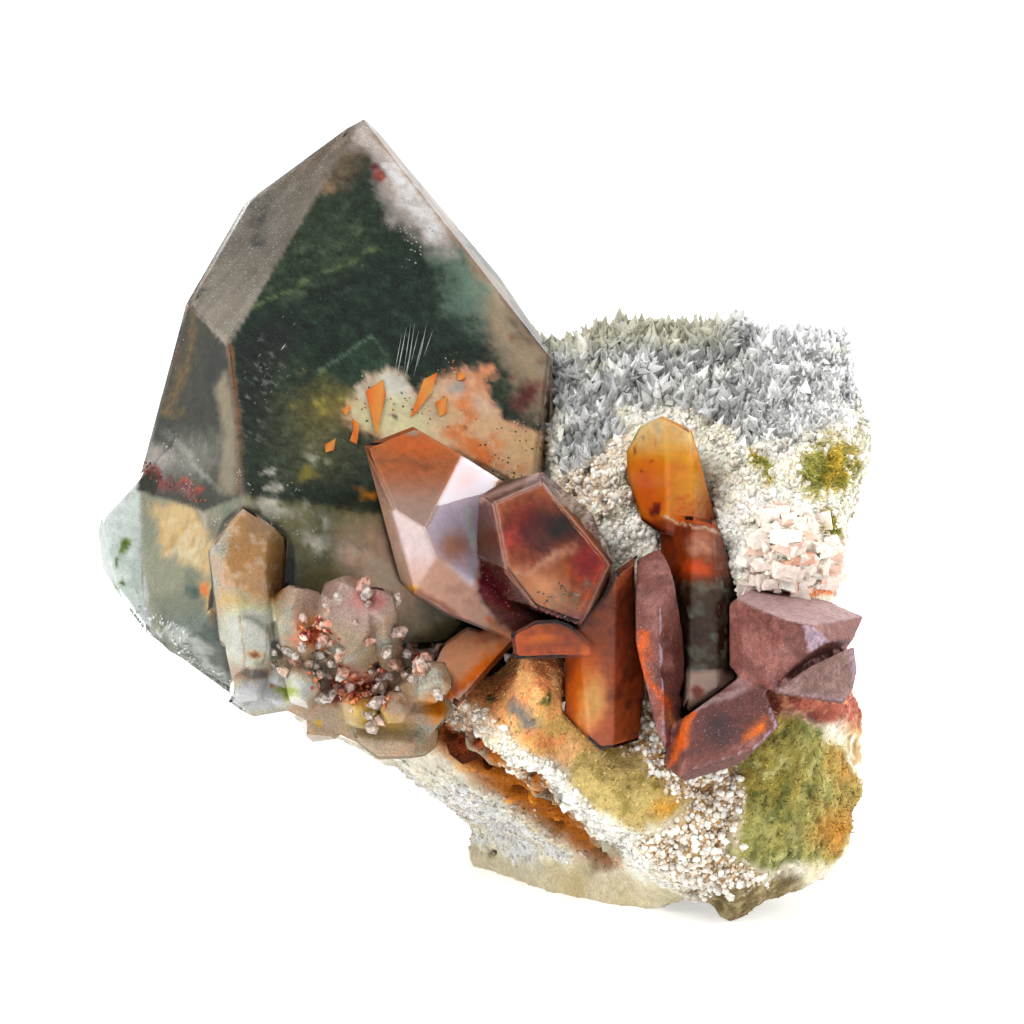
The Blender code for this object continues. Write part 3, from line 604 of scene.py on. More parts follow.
def green_cloud(paint):
    """The cream and orange cloud with its bright blades."""
    lay, spot, area = paint.lay, paint.spot, paint.area
    zone = area(CREAM_ZONE, 9, 1.6)
    streak = bands(paint, 420, 440, 500, 380, 14, 21)
    lay((255, 214, 186), zone, 1.0)
    right = zone * smooth(430, 452, paint.warped(0.7)[:, 0])
    lay((255, 200, 168), right * 0.85)
    lay((232, 142, 96), right * smooth(0.05, 0.5, paint.fine[:, 0] + 0.4 * streak) * 0.7)
    lay((244, 214, 196), right * spot(490, 400, 40, 30, 20) * 0.9)
    lay((255, 204, 164), right * spot(526, 446, 40, 50, 30) * 0.9)
    lay((232, 130, 72), right * spot(474, 452, 60, 26, 35, 0.9, 1.2) * 0.8)
    lay((170, 108, 76), right * spot(466, 424, 12, 8, 0, 0.9, 2.0) * 0.9)
    left = zone * smooth(432, 412, paint.warped(0.5)[:, 0])
    lay((255, 228, 196), left)
    lay((236, 232, 222), left * smooth(408, 388, paint.warped(0.6)[:, 1]))
    lay((180, 188, 184), spot(456, 386, 36, 20, 0, 0.8, 0.8) * 0.85, 1.0)
    lay((60, 70, 50), spot(400, 394, 4, 4, 0, 0.6, 0.5), 1.0)
    lay((60, 80, 56), spot(391, 417, 5, 9, -20, 0.6, 0.5), 1.0)


def green_paint(paint):
    """The large crystal: green dust, clear edge, cloud and pale left side."""
    lay, spot, stroke, area = paint.lay, paint.spot, paint.stroke, paint.area
    fog = fractal(paint.points, 4 * MM, 5, 35)
    mottle = fractal(paint.points, 1.3 * MM, 4, 36)
    lay(DEEP_GREEN, 1, 0.96)
    lay((60, 80, 66), smooth(-0.15, 0.35, mottle) * 0.5)
    lay(MOSS_GREEN, spot(318, 240, 130, 110, -34, 1.0, 1.6) * 0.6)
    lines = bands(paint, 250, 307, 377, 245, 6, 5) * spot(316, 254, 150, 90, -30, 0.8, 0.8)
    lay(LEAF_GREEN, lines * smooth(-0.35, 0.2, mottle) * 0.7)
    lay((128, 142, 100), stroke(247, 308, 378, 249, 5, 0.9, 0.7) * smooth(-0.3, 0.2, mottle) * 0.7)
    lay((34, 44, 40), stroke(270, 318, 392, 262, 14) * 0.7)
    lay((44, 48, 46), area([(230, 352), (270, 316), (310, 330), (280, 372), (262, 440), (243, 448)], 9,
        0.9) * 0.9)
    lay((132, 136, 130), area([(230, 380), (262, 340), (290, 350), (266, 440), (240, 448)], 9, 0.9) *
        smooth(0.25, 0.42, fractal(paint.points, 0.5 * MM, 2, 38)) * 0.8)
    lay((120, 106, 88), spot(340, 162, 64, 50, -25, 1.0, 1.5) * 0.95, 0.85)
    lay((206, 170, 142), spot(322, 181, 12, 18, 30) * 0.6)
    lay((66, 90, 72), area([(318, 374), (372, 336), (390, 360), (386, 380), (352, 400), (312, 420)], 9,
        0.4) * 0.35)
    lay((120, 142, 120), stroke(320, 372, 371, 337, 3.4, 0.9, 0.12) * 0.6)
    lay((104, 124, 104), stroke(371, 337, 386, 357, 3.0, 0.8, 0.12) * 0.6)
    # patches at the lower front
    lay((98, 102, 82), spot(284, 436, 76, 150, 4, 1.0, 1.4) * 0.6)
    lay((112, 112, 84), spot(330, 446, 90, 90, 0, 1.0, 1.6) * 0.6)
    lay((150, 136, 86), spot(326, 414, 70, 64, -30, 1.0, 1.8) * 0.75)
    lay((206, 194, 120), spot(320, 404, 60, 56, -30, 1.0, 2.0) * smooth(0.15, 0.35, mottle) * 0.8)
    lay((164, 152, 88), spot(314, 474, 34, 16, -20, 0.8, 1.6) * 0.85)
    lay((206, 202, 184), spot(326, 456, 28, 18, 0, 0.9, 2.0) * smooth(-0.1, 0.2, mottle) * 0.95)
    lay((214, 152, 84), spot(363, 490, 18, 14, 0, 0.8, 1.4) * 0.85)
    below = area([(243, 497), (381, 514), (420, 520), (470, 650), (300, 700), (262, 580)], 5, 0.4)
    lay((136, 132, 98), below, 0.85)
    lay((84, 90, 64), below * smooth(-0.05, 0.35, fog) * 0.8)
    for x, y, width, height in ((273, 510, 36, 24), (320, 522, 44, 22), (322, 548, 50, 24),
                                (372, 554, 60, 36), (392, 570, 40, 50), (290, 486, 44, 20),
                                (262, 478, 30, 16)):
        lay((240, 236, 224), spot(x, y, width, height, 15, 0.9, 2.0) * smooth(-0.2, 0.15, mottle) *
            0.9)
    lay((255, 218, 196), spot(392, 572, 96, 130, -20, 1.0, 1.6) * below, 0.95)
    lay((60, 62, 50), stroke(243, 495, 381, 514, 3, 0.9, 0.1) * 0.6)
    green_lower_left(paint, fog)
    green_left_side(paint)
    # right side
    teal = area([(436, 258), (470, 266), (500, 318), (478, 334), (448, 316)], 20, 1.3)
    lay((140, 160, 146), teal * 0.85, 0.8)
    edge = area([(470, 262), (552, 366), (556, 420), (520, 384), (482, 330)], 16, 1.5)
    lay((186, 170, 148), edge, 0.8)
    lay((176, 164, 150), edge * smooth(0.0, 0.4, mottle) * 0.9)
    lay((168, 96, 84), edge * smooth(0.25, 0.5, paint.fine[:, 0]) * 0.7)
    lay((62, 76, 58), spot(505, 392, 34, 36, 40, 0.9, 1.1) * 0.9, 0.95)
    lay((110, 48, 50), spot(532, 394, 34, 40, 55, 0.9, 1.1) * 0.9, 0.95)
    clear = area(CLEAR_ZONE, 13, 1.3)
    lay((236, 224, 218), clear, 0.62)
    lay((240, 236, 236), stroke(386, 176, 438, 242, 20, 0.9, 1.4), 0.85)
    lay((190, 186, 176), clear * smooth(0.1, 0.4, mottle) * 0.4, 0.6)
    lay((150, 130, 112), stroke(374, 136, 548, 362, 6, 0.9, 0.3) * 0.8, 0.85)
    lay((112, 48, 48), spot(371, 174, 13, 10, 30, 0.7, 1.2), 1.0)
    lay((172, 74, 66), spot(377, 184, 14, 8, 20, 0.7, 1.2) * 0.8, 0.9)
    green_cloud(paint)
    # The satin face: grey that is partly the frosted face's own colour and partly painted sheen of a
    # light above it; darker at the top and lighter towards the bottom.
    satin = area(SATIN_FACE, 1.6, 0.04)
    lay((138, 131, 121), satin, 0.97)
    lay((120, 106, 92), satin * smooth(220, 150, paint.view[:, 1]) * 0.8)
    lay((172, 164, 152), satin * smooth(246, 318, paint.view[:, 1]) * 0.9)
    lay((104, 99, 90), satin * bands(paint, 205, 300, 262, 238, 3.5, 17) * 0.35)
    lay((196, 190, 182), satin * bands(paint, 205, 300, 262, 238, 3, 19) * 0.3)
    for x, y, width, height in ((252, 228, 20, 26), (257, 254, 16, 26), (250, 206, 26, 12),
                                (206, 292, 16, 20)):
        lay((58, 62, 54), satin * spot(x, y, width, height, 20, 0.9, 2.0) * 0.9)
    lay((160, 104, 76), stroke(363, 121, 247, 199, 7, 0.9, 0.4) * 0.6)
    lay((166, 112, 84), stroke(247, 199, 190, 300, 8, 0.9, 0.5) * 0.8)
    line = red_line(paint, 9, 11, 1.0)
    lay((138, 58, 52), line * 0.8, 1.0)
    lay((222, 104, 60), line * smooth(0.05, 0.35, paint.fine[:, 1]) * 0.9)


def phantom_paint(paint):
    """The inner surface of the green dust, left open under the clear edge."""
    lay, area = paint.lay, paint.area
    fog = fractal(paint.points, 3 * MM, 5, 45)
    lay(DEEP_GREEN, 1, 0.95)
    lay(MOSS_GREEN, smooth(0.0, 0.4, fog) * 0.8)
    lay((176, 176, 160), area([(90, 480), (243, 497), (400, 516), (440, 640), (262, 720), (120, 640)],
        14), 0.5)
    open_side = area([(340, 90), (420, 90), (620, 350), (620, 520), (500, 420), (430, 262),
                     (380, 210)], 10, 0.8)
    lay((200, 196, 186), open_side, 0.0)


def pink_paint(paint):
    lay, spot, stroke, area = paint.lay, paint.spot, paint.stroke, paint.area
    fog = fractal(paint.points, 2.6 * MM, 5, 37)
    lay((206, 174, 160), 1, 0.8)
    lay((226, 204, 196), smooth(0.0, 0.45, fog) * 0.7, 0.7)
    top = area([(414, 422), (362, 443), (392, 510), (425, 531), (464, 454)], 1.6, 0.05)
    height = paint.warped(0.4)[:, 1]
    lay((170, 116, 88), top, 0.97)
    lay((192, 122, 88), top * spot(414, 447, 90, 24, 12, 0.9, 0.9) * 0.9)
    lay((144, 102, 80), top * stroke(374, 460, 444, 468, 10, 0.9, 1.2) * 0.7)
    lay((176, 158, 150), top * smooth(468, 508, height) * 0.9)
    lay((156, 152, 140), top * spot(414, 433, 24, 11, 0, 0.7, 0.6) * 0.9)
    # The right face: pale lilac white that is partly the crystal's milky colour and partly painted
    # reflection of a light on the right.
    right = area([(464, 454), (494, 474), (484, 540), (470, 592), (436, 556), (426, 529)], 1.6, 0.05)
    lay((224, 214, 224), right, 0.86)
    lay((222, 178, 168), right * spot(468, 484, 30, 40, 30) * 0.6)
    lay((200, 156, 138), right * spot(452, 548, 44, 40, 30) * 0.9)
    # Painted highlight: a near-white streak down the right face.
    lay((246, 243, 244), right * stroke(468, 512, 472, 546, 8, 0.7, 0.3))
    small = area([(391, 508), (426, 529), (436, 556), (414, 590)], 1.4, 0.05)
    lay((228, 210, 208), small, 0.9)
    lay((206, 172, 158), small * smooth(548, 584, height) * 0.8)
    strip = area([(362, 443), (392, 508), (416, 590), (408, 590), (388, 530)], 2, 0.2)
    lay((212, 182, 166), strip, 0.9)
    low = area([(414, 590), (436, 556), (480, 592), (520, 640), (500, 646)], 3, 0.3)
    lay((204, 168, 150), low, 0.92)
    lay((176, 134, 114), low * smooth(0.0, 0.4, paint.fine[:, 0]) * 0.7)
    lay((150, 92, 72), stroke(400, 586, 512, 648, 11, 0.9, 0.6) * 0.9, 1.0)
    lay((214, 168, 60), spot(411, 588, 11, 8, 0, 0.7, 0.5), 1.0)
    lay((196, 106, 50), spot(491, 620, 9, 11, 0, 0.8, 0.6), 1.0)
    rosy = area([(476, 545), (480, 497), (503, 480), (534, 472), (556, 475), (600, 508), (618, 560),
                (614, 584), (592, 608), (576, 630), (520, 640), (482, 602)], 2, 0.1)
    lay((100, 68, 58), rosy, 0.97)
    lay((136, 104, 96), rosy * smooth(0.1, 0.4, paint.fine[:, 1]) * 0.6)
    lay((188, 160, 154), rosy * stroke(484, 500, 536, 476, 7, 0.8, 0.3) * 0.8)
    window = area([(495, 504), (541, 485), (606, 564), (578, 624), (538, 607), (508, 571)], 2, 0.15)
    lay((158, 104, 80), window, 0.97)
    lay((120, 44, 38), window * spot(522, 530, 76, 86, 30, 0.9, 1.2))
    lay((176, 92, 84), window * spot(508, 540, 22, 40, 20, 0.9, 1.4) * 0.8)
    lay((32, 16, 14), window * spot(558, 530, 86, 58, 34, 0.9, 1.2))
    lay((84, 42, 42), window * spot(534, 548, 50, 30, 25) * 0.9)
    lay((190, 152, 132), window * stroke(508, 584, 570, 548, 12, 1.0, 1.4))
    lay((132, 46, 10), window * spot(584, 568, 56, 74, -20, 0.9, 1.2))
    lay((206, 162, 134), window * spot(542, 590, 60, 34, 20, 0.9, 0.8) * 0.9)
    for x, y, size in ((551, 599, 10), (557, 592, 7), (563, 602, 11), (574, 594, 8), (580, 604, 7)):
        lay((112, 128, 116), spot(x, y, size, 1.3 * size, 0, 1.0, 2.2) * 0.7, 1.0)
    for x0, y0, x1, y1 in ((495, 504, 541, 485), (541, 485, 606, 564), (606, 564, 578, 624),
                           (538, 607, 508, 571), (508, 571, 495, 504)):
        lay((206, 178, 168), stroke(x0, y0, x1, y1, 2.6, 0.9, 0.05) * 0.6)
    grit = area([(478, 562), (506, 580), (510, 606), (494, 604), (480, 590)], 3, 0.8)
    lay((112, 50, 58), grit, 1.0)
    dusty = stroke(504, 616, 578, 620, 22, 0.9, 0.9)
    lay((126, 90, 90), dusty * 0.9, 1.0)
    lay((214, 118, 58), stroke(609, 520, 621, 562, 8, 0.8, 0.5) * 0.9, 1.0)
    wedge = area([(426, 704), (448, 634), (512, 632), (514, 652), (438, 708)], 3, 0.4)
    lay((240, 176, 150), wedge, 0.95)
    lay((222, 126, 74), wedge * stroke(440, 698, 512, 654, 24, 0.9, 1.0) * 0.9)
    lay((178, 126, 112), wedge * smooth(0.1, 0.4, paint.fine[:, 0]) * 0.6)


def amber_paint(paint):
    lay, spot, stroke, area = paint.lay, paint.spot, paint.stroke, paint.area
    fog = fractal(paint.points, 2.0 * MM, 5, 39)
    height = paint.warped(0.5)[:, 1]
    lay((170, 98, 66), 1, 0.97)
    lay((168, 96, 68), smooth(672, 600, height) * 0.85)
    lay((116, 62, 50), smooth(-0.05, 0.35, fog) * 0.6)
    lay((226, 122, 58), spot(580, 676, 36, 90, 8, 0.9, 0.9) * 0.9)
    lay((240, 180, 122), spot(590, 702, 30, 60, 8, 0.9, 0.9) * 0.85)
    lay((158, 90, 72), spot(622, 640, 26, 80, 8) * 0.7)
    stub = area([(510, 624), (580, 624), (580, 656), (513, 656)], 3, 0.3)
    lay((166, 84, 16), stub, 0.95)
    lay((206, 122, 30), stub * spot(540, 636, 40, 12, 0, 0.9, 0.9) * 0.8)
    lay((170, 80, 44), stub * stroke(513, 652, 578, 654, 6, 0.8, 0.6) * 0.8)


def orange_paint(paint):
    lay, spot, stroke = paint.lay, paint.spot, paint.stroke
    height = paint.warped(0.4)[:, 1]
    fog = fractal(paint.points, 1.6 * MM, 4, 40)
    lay((232, 144, 60), 1, 0.93)
    lay((255, 164, 44), spot(688, 488, 44, 56, 20, 0.9, 0.6))
    lay((228, 124, 56), spot(648, 490, 34, 50, 0, 0.9, 0.8) * 0.9)
    lay((222, 196, 156), smooth(466, 432, height), 0.9)
    lay((190, 178, 148), spot(674, 434, 40, 15, 10, 0.9, 0.8) * 0.9)
    lay((232, 176, 116), smooth(-0.0, 0.35, fog) * smooth(500, 440, height) * 0.6)
    lay((156, 158, 88), stroke(631, 446, 650, 420, 6, 0.8, 0.6) * 0.9)
    # Painted highlight: a pale stroke along the finger's right edge.
    lay((250, 208, 160), stroke(690, 436, 719, 520, 5, 0.9, 0.2) * 0.8)
    for k in range(6):
        y = 494 + 4.2 * k
        lay((206, 104, 50), stroke(676, y, 712, y + 5, 1.8, 0.9, 0.1) * 0.7)
    for x, y in ((640, 452), (647, 441), (652, 460), (643, 470), (658, 446)):
        lay((130, 66, 40), spot(x, y, 5, 6, 0, 0.8, 0.8) * 0.8)
    lay((98, 40, 42), spot(654, 510, 18, 22, 20, 0.6, 0.9), 1.0)
    low = smooth(514, 526, height)
    lay((140, 76, 50), low, 0.95)
    lay((214, 172, 150), low * spot(704, 545, 30, 30, 20) * 0.9)
    lay((206, 110, 62), low * spot(702, 567, 38, 16, 0, 0.9, 0.9) * 0.95)
    lay((120, 66, 58), low * smooth(-0.05, 0.3, fog) * 0.5)
    deep = smooth(574, 590, height)
    lay((84, 66, 52), deep, 0.92)
    lay((134, 138, 122), deep * smooth(0.0, 0.3, fog) * 0.7)
    lay((184, 184, 172), deep * smooth(0.32, 0.42, paint.fine[:, 0]) * 0.9)
    foot = smooth(668, 676, height)
    lay((230, 200, 190), foot, 0.95)
    lay((160, 88, 70), spot(690, 694, 16, 16, 0, 0.5, 0.8) * foot * 0.9)
    # A crack across the finger, with its glint painted in as a near-white line.
    lay((250, 238, 220), stroke(662, 517, 716, 530, 3, 0.9, 0.6) * 0.6)


def small_paint(paint):
    lay, spot, stroke, area = paint.lay, paint.spot, paint.stroke, paint.area
    fog = fractal(paint.points, 2.0 * MM, 5, 41)
    mottle = fractal(paint.points, 0.9 * MM, 3, 42)
    lay((232, 196, 172), 1, 0.62)
    lay((244, 224, 210), smooth(0.0, 0.4, fog), 0.55)
    lay((226, 168, 140), smooth(0.1, 0.4, paint.fine[:, 0]) * 0.5, 0.75)
    tan = area([(222, 580), (233, 524), (258, 498), (280, 530), (302, 572), (276, 604)], 3, 0.3)
    lay((186, 150, 112), tan, 0.8)
    lay((152, 132, 110), tan * spot(258, 524, 40, 50, 0, 0.9, 0.9) * 0.7)
    lay((222, 208, 188), tan * smooth(0.1, 0.4, mottle) * 0.6)
    lay((226, 184, 122), spot(246, 606, 70, 34, 0, 0.8, 0.9) * 0.9, 0.75)
    lay((246, 236, 216), spot(252, 634, 66, 70, 0, 0.5, 0.4), 0.8)
    lay((150, 134, 112), stroke(240, 616, 246, 664, 3, 0.8, 0.3) * 0.7)
    lay((150, 134, 112), stroke(268, 620, 262, 662, 3, 0.8, 0.3) * 0.7)
    lay((240, 236, 228), spot(268, 693, 90, 40, -10, 0.4, 0.2), 0.8)
    lay((96, 92, 90), spot(254, 671, 36, 16, 8, 0.6, 0.4) * 0.9, 0.8)
    lay((222, 188, 174), spot(316, 598, 60, 56, 0, 0.7, 0.5), 0.62)
    lay((228, 190, 182), spot(360, 600, 76, 66, 0, 0.6, 0.4), 0.66)
    lay((172, 88, 82), spot(362, 598, 30, 34, 10, 0.9, 1.4), 0.95)
    lay((224, 150, 90), spot(365, 602, 5, 6, 0, 0.8, 0.8), 1.0)
    lay((204, 118, 82), spot(315, 635, 44, 32, 20, 0.8, 1.4), 1.0)
    lay((228, 172, 132), spot(315, 635, 44, 32, 20, 0.8, 1.4) * smooth(0.0, 0.3, mottle), 1.0)
    red = spot(357, 688, 74, 44, 0, 0.8, 1.6)
    lay((158, 72, 64), red, 1.0)
    lay((216, 118, 68), red * smooth(0.0, 0.3, mottle), 1.0)
    lay((232, 190, 176), red * smooth(0.25, 0.4, paint.fine[:, 1]), 0.9)
    lay((168, 112, 58), spot(253, 648, 13, 10, 0, 0.6, 0.8), 1.0)
    lay((92, 54, 26), spot(254, 649, 6, 5, 0, 0.6, 0.8), 1.0)
    lay((160, 172, 88), spot(291, 688, 20, 22, 0, 0.7, 1.4), 1.0)
    lay((222, 150, 82), spot(274, 687, 7, 8, 0, 0.6, 0.8), 1.0)
    lay((236, 186, 112), spot(374, 716, 70, 46, 10, 0.8, 0.9), 0.9)
    lay((176, 160, 146), spot(398, 706, 40, 24, 10, 0.9, 0.9) * 0.8, 0.75)
    lay((236, 140, 58), spot(428, 708, 26, 40, -20, 0.8, 0.9), 1.0)
    lay((226, 190, 180), spot(434, 646, 40, 34, 0, 0.7, 0.6), 0.55)
    lay((200, 120, 104), spot(408, 640, 22, 40, 0, 0.9, 1.2) * 0.8, 0.9)
    lay((228, 176, 58), spot(318, 721, 8, 7, 0, 0.6, 0.6), 1.0)
    lay((58, 32, 24), spot(372, 663, 13, 11, 0, 0.5, 0.8), 1.0)


# The crystals

crystal_skin("main_crystal",
             quartz_skin("green_quartz_skin", absorb=(0.88, 0.93, 0.89), roughness=0.012),
             frosts=((-127, 50, 0.5), (-143, 18, 0.12)))
inner_surface("main_crystal", "chlorite_dust", green_paint,
              inclusion("chlorite_dust_look", speck=0.6, speck_size=5.5, clear=0.42, bright=0.42),
              depth=0.6, voxel=0.5, seed=3, wobble=0.08, grade=(1.25, 1.12))
inner_surface("main_crystal", "chlorite_phantom", phantom_paint,
              inclusion("chlorite_phantom_look", speck=0.5, speck_size=3.2, clear=0.25, bright=0.25),
              depth=3.4, voxel=0.9, seed=5, wobble=0.5)
crystal_skin("pink_crystals",
             quartz_skin("pink_quartz_skin", absorb=(0.97, 0.90, 0.88), roughness=0.015,
                         turn=(0, -50, 0), relief=0.01))
inner_surface("pink_crystals", "pink_veil", pink_paint,
              inclusion("pink_veil_look", speck=0.45, speck_size=4.0, clear=0.3, bright=0.08),
              depth=0.39, voxel=0.37, seed=7, wobble=0.06, grade=(1.4, 1.2))
crystal_skin("amber_crystals",
             quartz_skin("amber_quartz_skin", absorb=(0.97, 0.8, 0.66), roughness=0.08,
                         turn=(0, 90, 0), relief=0.02))
inner_surface("amber_crystals", "amber_core", amber_paint,
              inclusion("amber_core_look", speck=0.5, speck_size=4.0, clear=0.3, bright=0.15),
              depth=0.35, voxel=0.36, seed=9, wobble=0.08, grade=(1.2, 1.35))
crystal_skin("orange_crystal",
             quartz_skin("orange_quartz_skin", absorb=(0.98, 0.86, 0.66), roughness=0.04,
                         turn=(0, 20, 0), relief=0.02))
inner_surface("orange_crystal", "orange_core", orange_paint,
              inclusion("orange_core_look", speck=0.45, speck_size=4.0, clear=0.3, bright=0.08),
              depth=0.4, voxel=0.36, seed=11, wobble=0.08, grade=(1.4, 1.25))
crystal_skin("small_crystals",
             quartz_skin("clear_quartz_skin", absorb=(0.98, 0.95, 0.93), roughness=0.02,
                         turn=(0, 90, 0), relief=0.015))
inner_surface("small_crystals", "small_core", small_paint,
              inclusion("small_core_look", speck=0.55, speck_size=4.5, clear=0.5, bright=0.15),
              depth=0.29, voxel=0.3, seed=13, wobble=0.07, grade=(1.3, 1.3))


def plates(name, outlines, tones, depth, thick):
    """Thin plates under a face of the large crystal. Each has two tones at its corners."""
    tree = node_tree("main_crystal")
    mesh = bpy.data.meshes.new(name)
    points, faces, colours = [], [], []
    for outline, (tone, second) in zip(outlines, tones):
        start = len(points)
        front, back = [], []
        for px, py in outline:
            hit = tree.ray_cast(EYE, sight_line(px, py))
            front.append(hit[0] - hit[1] * depth * MM)
            back.append(hit[0] - hit[1] * (depth + thick) * MM)
        count = len(outline)
        points += front + back
        colours += [second if k % 2 else tone for k in range(count)] * 2
        faces.append([start + k for k in reversed(range(count))])
        faces.append([start + count + k for k in range(count)])
        for k in range(count):
            other = (k + 1) % count
            faces.append([start + k, start + other, start + count + other, start + count + k])
    mesh.from_pydata([tuple(p) for p in points], [], faces)
    put_colour(mesh, "tint", colours)
    put_value(mesh, "cover", np.ones(len(points)))
    return mesh


def node_tree(node):
    graph = bmesh.new()
    graph.from_mesh(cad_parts[node].data)
    tree = BVHTree.FromBMesh(graph)
    graph.free()
    return tree


def thin_outline(x0, y0, x1, y1, width):
    """A long lens shape between two places."""
    length = math.hypot(x1 - x0, y1 - y0)
    side_x, side_y = -(y1 - y0) / length * width / 2, (x1 - x0) / length * width / 2
    middle_x, middle_y = (x0 + x1) / 2, (y0 + y1) / 2
    return [(x0, y0), (middle_x + side_x, middle_y + side_y), (x1, y1),
            (middle_x - side_x, middle_y - side_y)]


blades = list(FLAMES) + [thin_outline(*wisp) for wisp in WISPS]
scatter = np.random.default_rng(SEED)
for _ in range(DASHES):
    x, y = scatter.normal(270, 16), scatter.normal(372, 26)
    run = scatter.uniform(1.0, 2.6)
    blades.append(thin_outline(x, y, x + run, y - run * scatter.uniform(0.4, 1.2), 0.8))
blade_tones = [FLAME_TONES] * len(FLAMES) + [(rgb(220, 224, 218),) * 2] * len(WISPS)
blade_tones += [(rgb(160, 166, 158),) * 2] * DASHES
blade_mesh = plates("orange_blades", blades, blade_tones, depth=0.12, thick=0.25)
blade_mesh.materials.append(inclusion("blade_look", speck=0.25, speck_size=3.0, clear=0.3,
                                      bright=0.1, roughness=0.4))
piece("orange_blades", blade_mesh)


# The vein rock

def remeshed(mesh, size, name):
    item = link(name + "_source", mesh)
    change = item.modifiers.new("remesh", "REMESH")
    change.mode = "VOXEL"
    change.voxel_size = size
    result = evaluated(item)
    bpy.data.objects.remove(item, do_unlink=True)
    result.name = name
    return result


def finer_front(mesh):
    """Split the faces that look towards the photograph's side once more."""
    bm = bmesh.new()
    bm.from_mesh(mesh)
    bm.normal_update()
    front = [f for f in bm.faces if f.normal.dot(-FORWARD) > 0.05]
    edges = list({e for f in front for e in f.edges})
    bmesh.ops.subdivide_edges(bm, edges=edges, cuts=1, use_grid_fill=True)
    bm.to_mesh(mesh)
    bm.free()


DRUSE_AREA = [(546, 352), (560, 338), (640, 310), (730, 326), (862, 324), (866, 400), (800, 436),
              (744, 446), (720, 430), (690, 410), (622, 404), (604, 452), (560, 474), (546, 420)]
BLOCK_AREA = [(742, 520), (790, 500), (842, 520), (838, 590), (742, 592)]
SLAB_AREA = [(436, 702), (470, 664), (514, 648), (576, 650), (574, 690), (590, 726), (612, 742),
             (566, 768), (500, 740)]
GREEN_AREA = [(560, 770), (600, 742), (640, 756), (696, 770), (700, 800), (650, 822), (600, 806)]
MOSS_AREA = [(744, 742), (776, 712), (820, 730), (858, 770), (862, 830), (826, 862), (768, 872),
             (726, 856), (744, 800)]
VEIN_LINE = ((442, 722), (474, 752), (520, 788), (572, 822), (606, 846))
RIDGE_LINE = ((446, 706), (500, 744), (548, 782), (610, 828), (660, 866), (700, 890))
BASE_AREA = [(468, 846), (520, 866), (580, 874), (630, 880), (668, 900), (640, 916), (470, 892)]
SUGAR_AREA = [(590, 716), (620, 690), (640, 684), (662, 740), (720, 766), (748, 760), (742, 800),
              (722, 852), (760, 880), (690, 884), (640, 840), (700, 806), (640, 760)]
PALE_AREA = [(440, 784), (476, 790), (540, 826), (590, 866), (470, 850), (420, 800), (392, 760)]
LOBE_AREA = [(680, 884), (780, 876), (800, 884), (770, 920), (710, 920)]
BROAD_RIDGE = [(556, 786), (610, 806), (706, 862), (694, 892), (640, 888), (596, 850)]
CRUST_AREA = [(742, 686), (800, 690), (866, 700), (864, 730), (800, 722), (744, 712)]
HOLES = ((453, 741, 26, 22, 3.2), (480, 762, 10, 26, 2.0), (517, 793, 17, 13, 1.8),
         (541, 802, 18, 14, 1.8), (598, 857, 13, 9, 1.4), (494, 857, 8, 7, 1.0),
         (738, 590, 10, 16, 2.0), (811, 574, 14, 12, 1.6), (578, 496, 12, 10, 1.2),
         (600, 519, 12, 14, 1.4), (586, 508, 9, 9, 1.0), (566, 480, 10, 14, 1.2),
         (499, 722, 6, 4, 0.5), (690, 884, 10, 7, 0.8), (574, 452, 12, 9, 1.4),
         (592, 468, 9, 13, 1.4), (568, 508, 10, 8, 1.2), (607, 498, 8, 10, 1.2),
         (560, 456, 8, 8, 1.0), (596, 444, 8, 8, 1.0), (498, 776, 12, 10, 1.8),
         (526, 780, 10, 9, 1.6), (560, 812, 13, 10, 1.6), (552, 824, 9, 8, 1.4),
         (584, 836, 9, 8, 1.2), (470, 744, 9, 9, 1.4))


def along(paint, line, width, soft=0.6, rough=0.5):
    mask = np.zeros(len(paint.points))
    for (x0, y0), (x1, y1) in zip(line, line[1:]):
        mask = np.maximum(mask, paint.stroke(x0, y0, x1, y1, width, soft, rough))
    return mask


def rock_masks(paint, front):
    """Where each kind of surface lies, on the side that the photograph shows."""
    area = paint.area
    masks = {
        "druse": area(DRUSE_AREA, 9, 1.0),
        "block": area(BLOCK_AREA, 6, 0.8),
        "slab": area(SLAB_AREA, 5, 0.8),
        "green": area(GREEN_AREA, 7, 1.2),
        "moss": area(MOSS_AREA, 7, 1.0),
        "vein": along(paint, VEIN_LINE, 52),
        "ridge": along(paint, RIDGE_LINE, 27, 0.5, 0.6),
        "base": area(BASE_AREA, 6, 0.8),
        "sugar": area(SUGAR_AREA, 7, 1.4),
        "pale": area(PALE_AREA, 8, 1.2),
        "lobe": area(LOBE_AREA, 7, 1.0),
        "crust": area(CRUST_AREA, 7, 1.2),
        "tuft": np.maximum(paint.spot(828, 470, 60, 74, 20, 0.5),
                           paint.spot(762, 472, 26, 40, -20, 0.6, 1.4)),
    }
    for name in masks:
        masks[name] = masks[name] * front
    masks["tuft"] = np.maximum(masks["tuft"], front * paint.spot(826, 520, 24, 30, 0, 0.6, 1.2))
    return masks


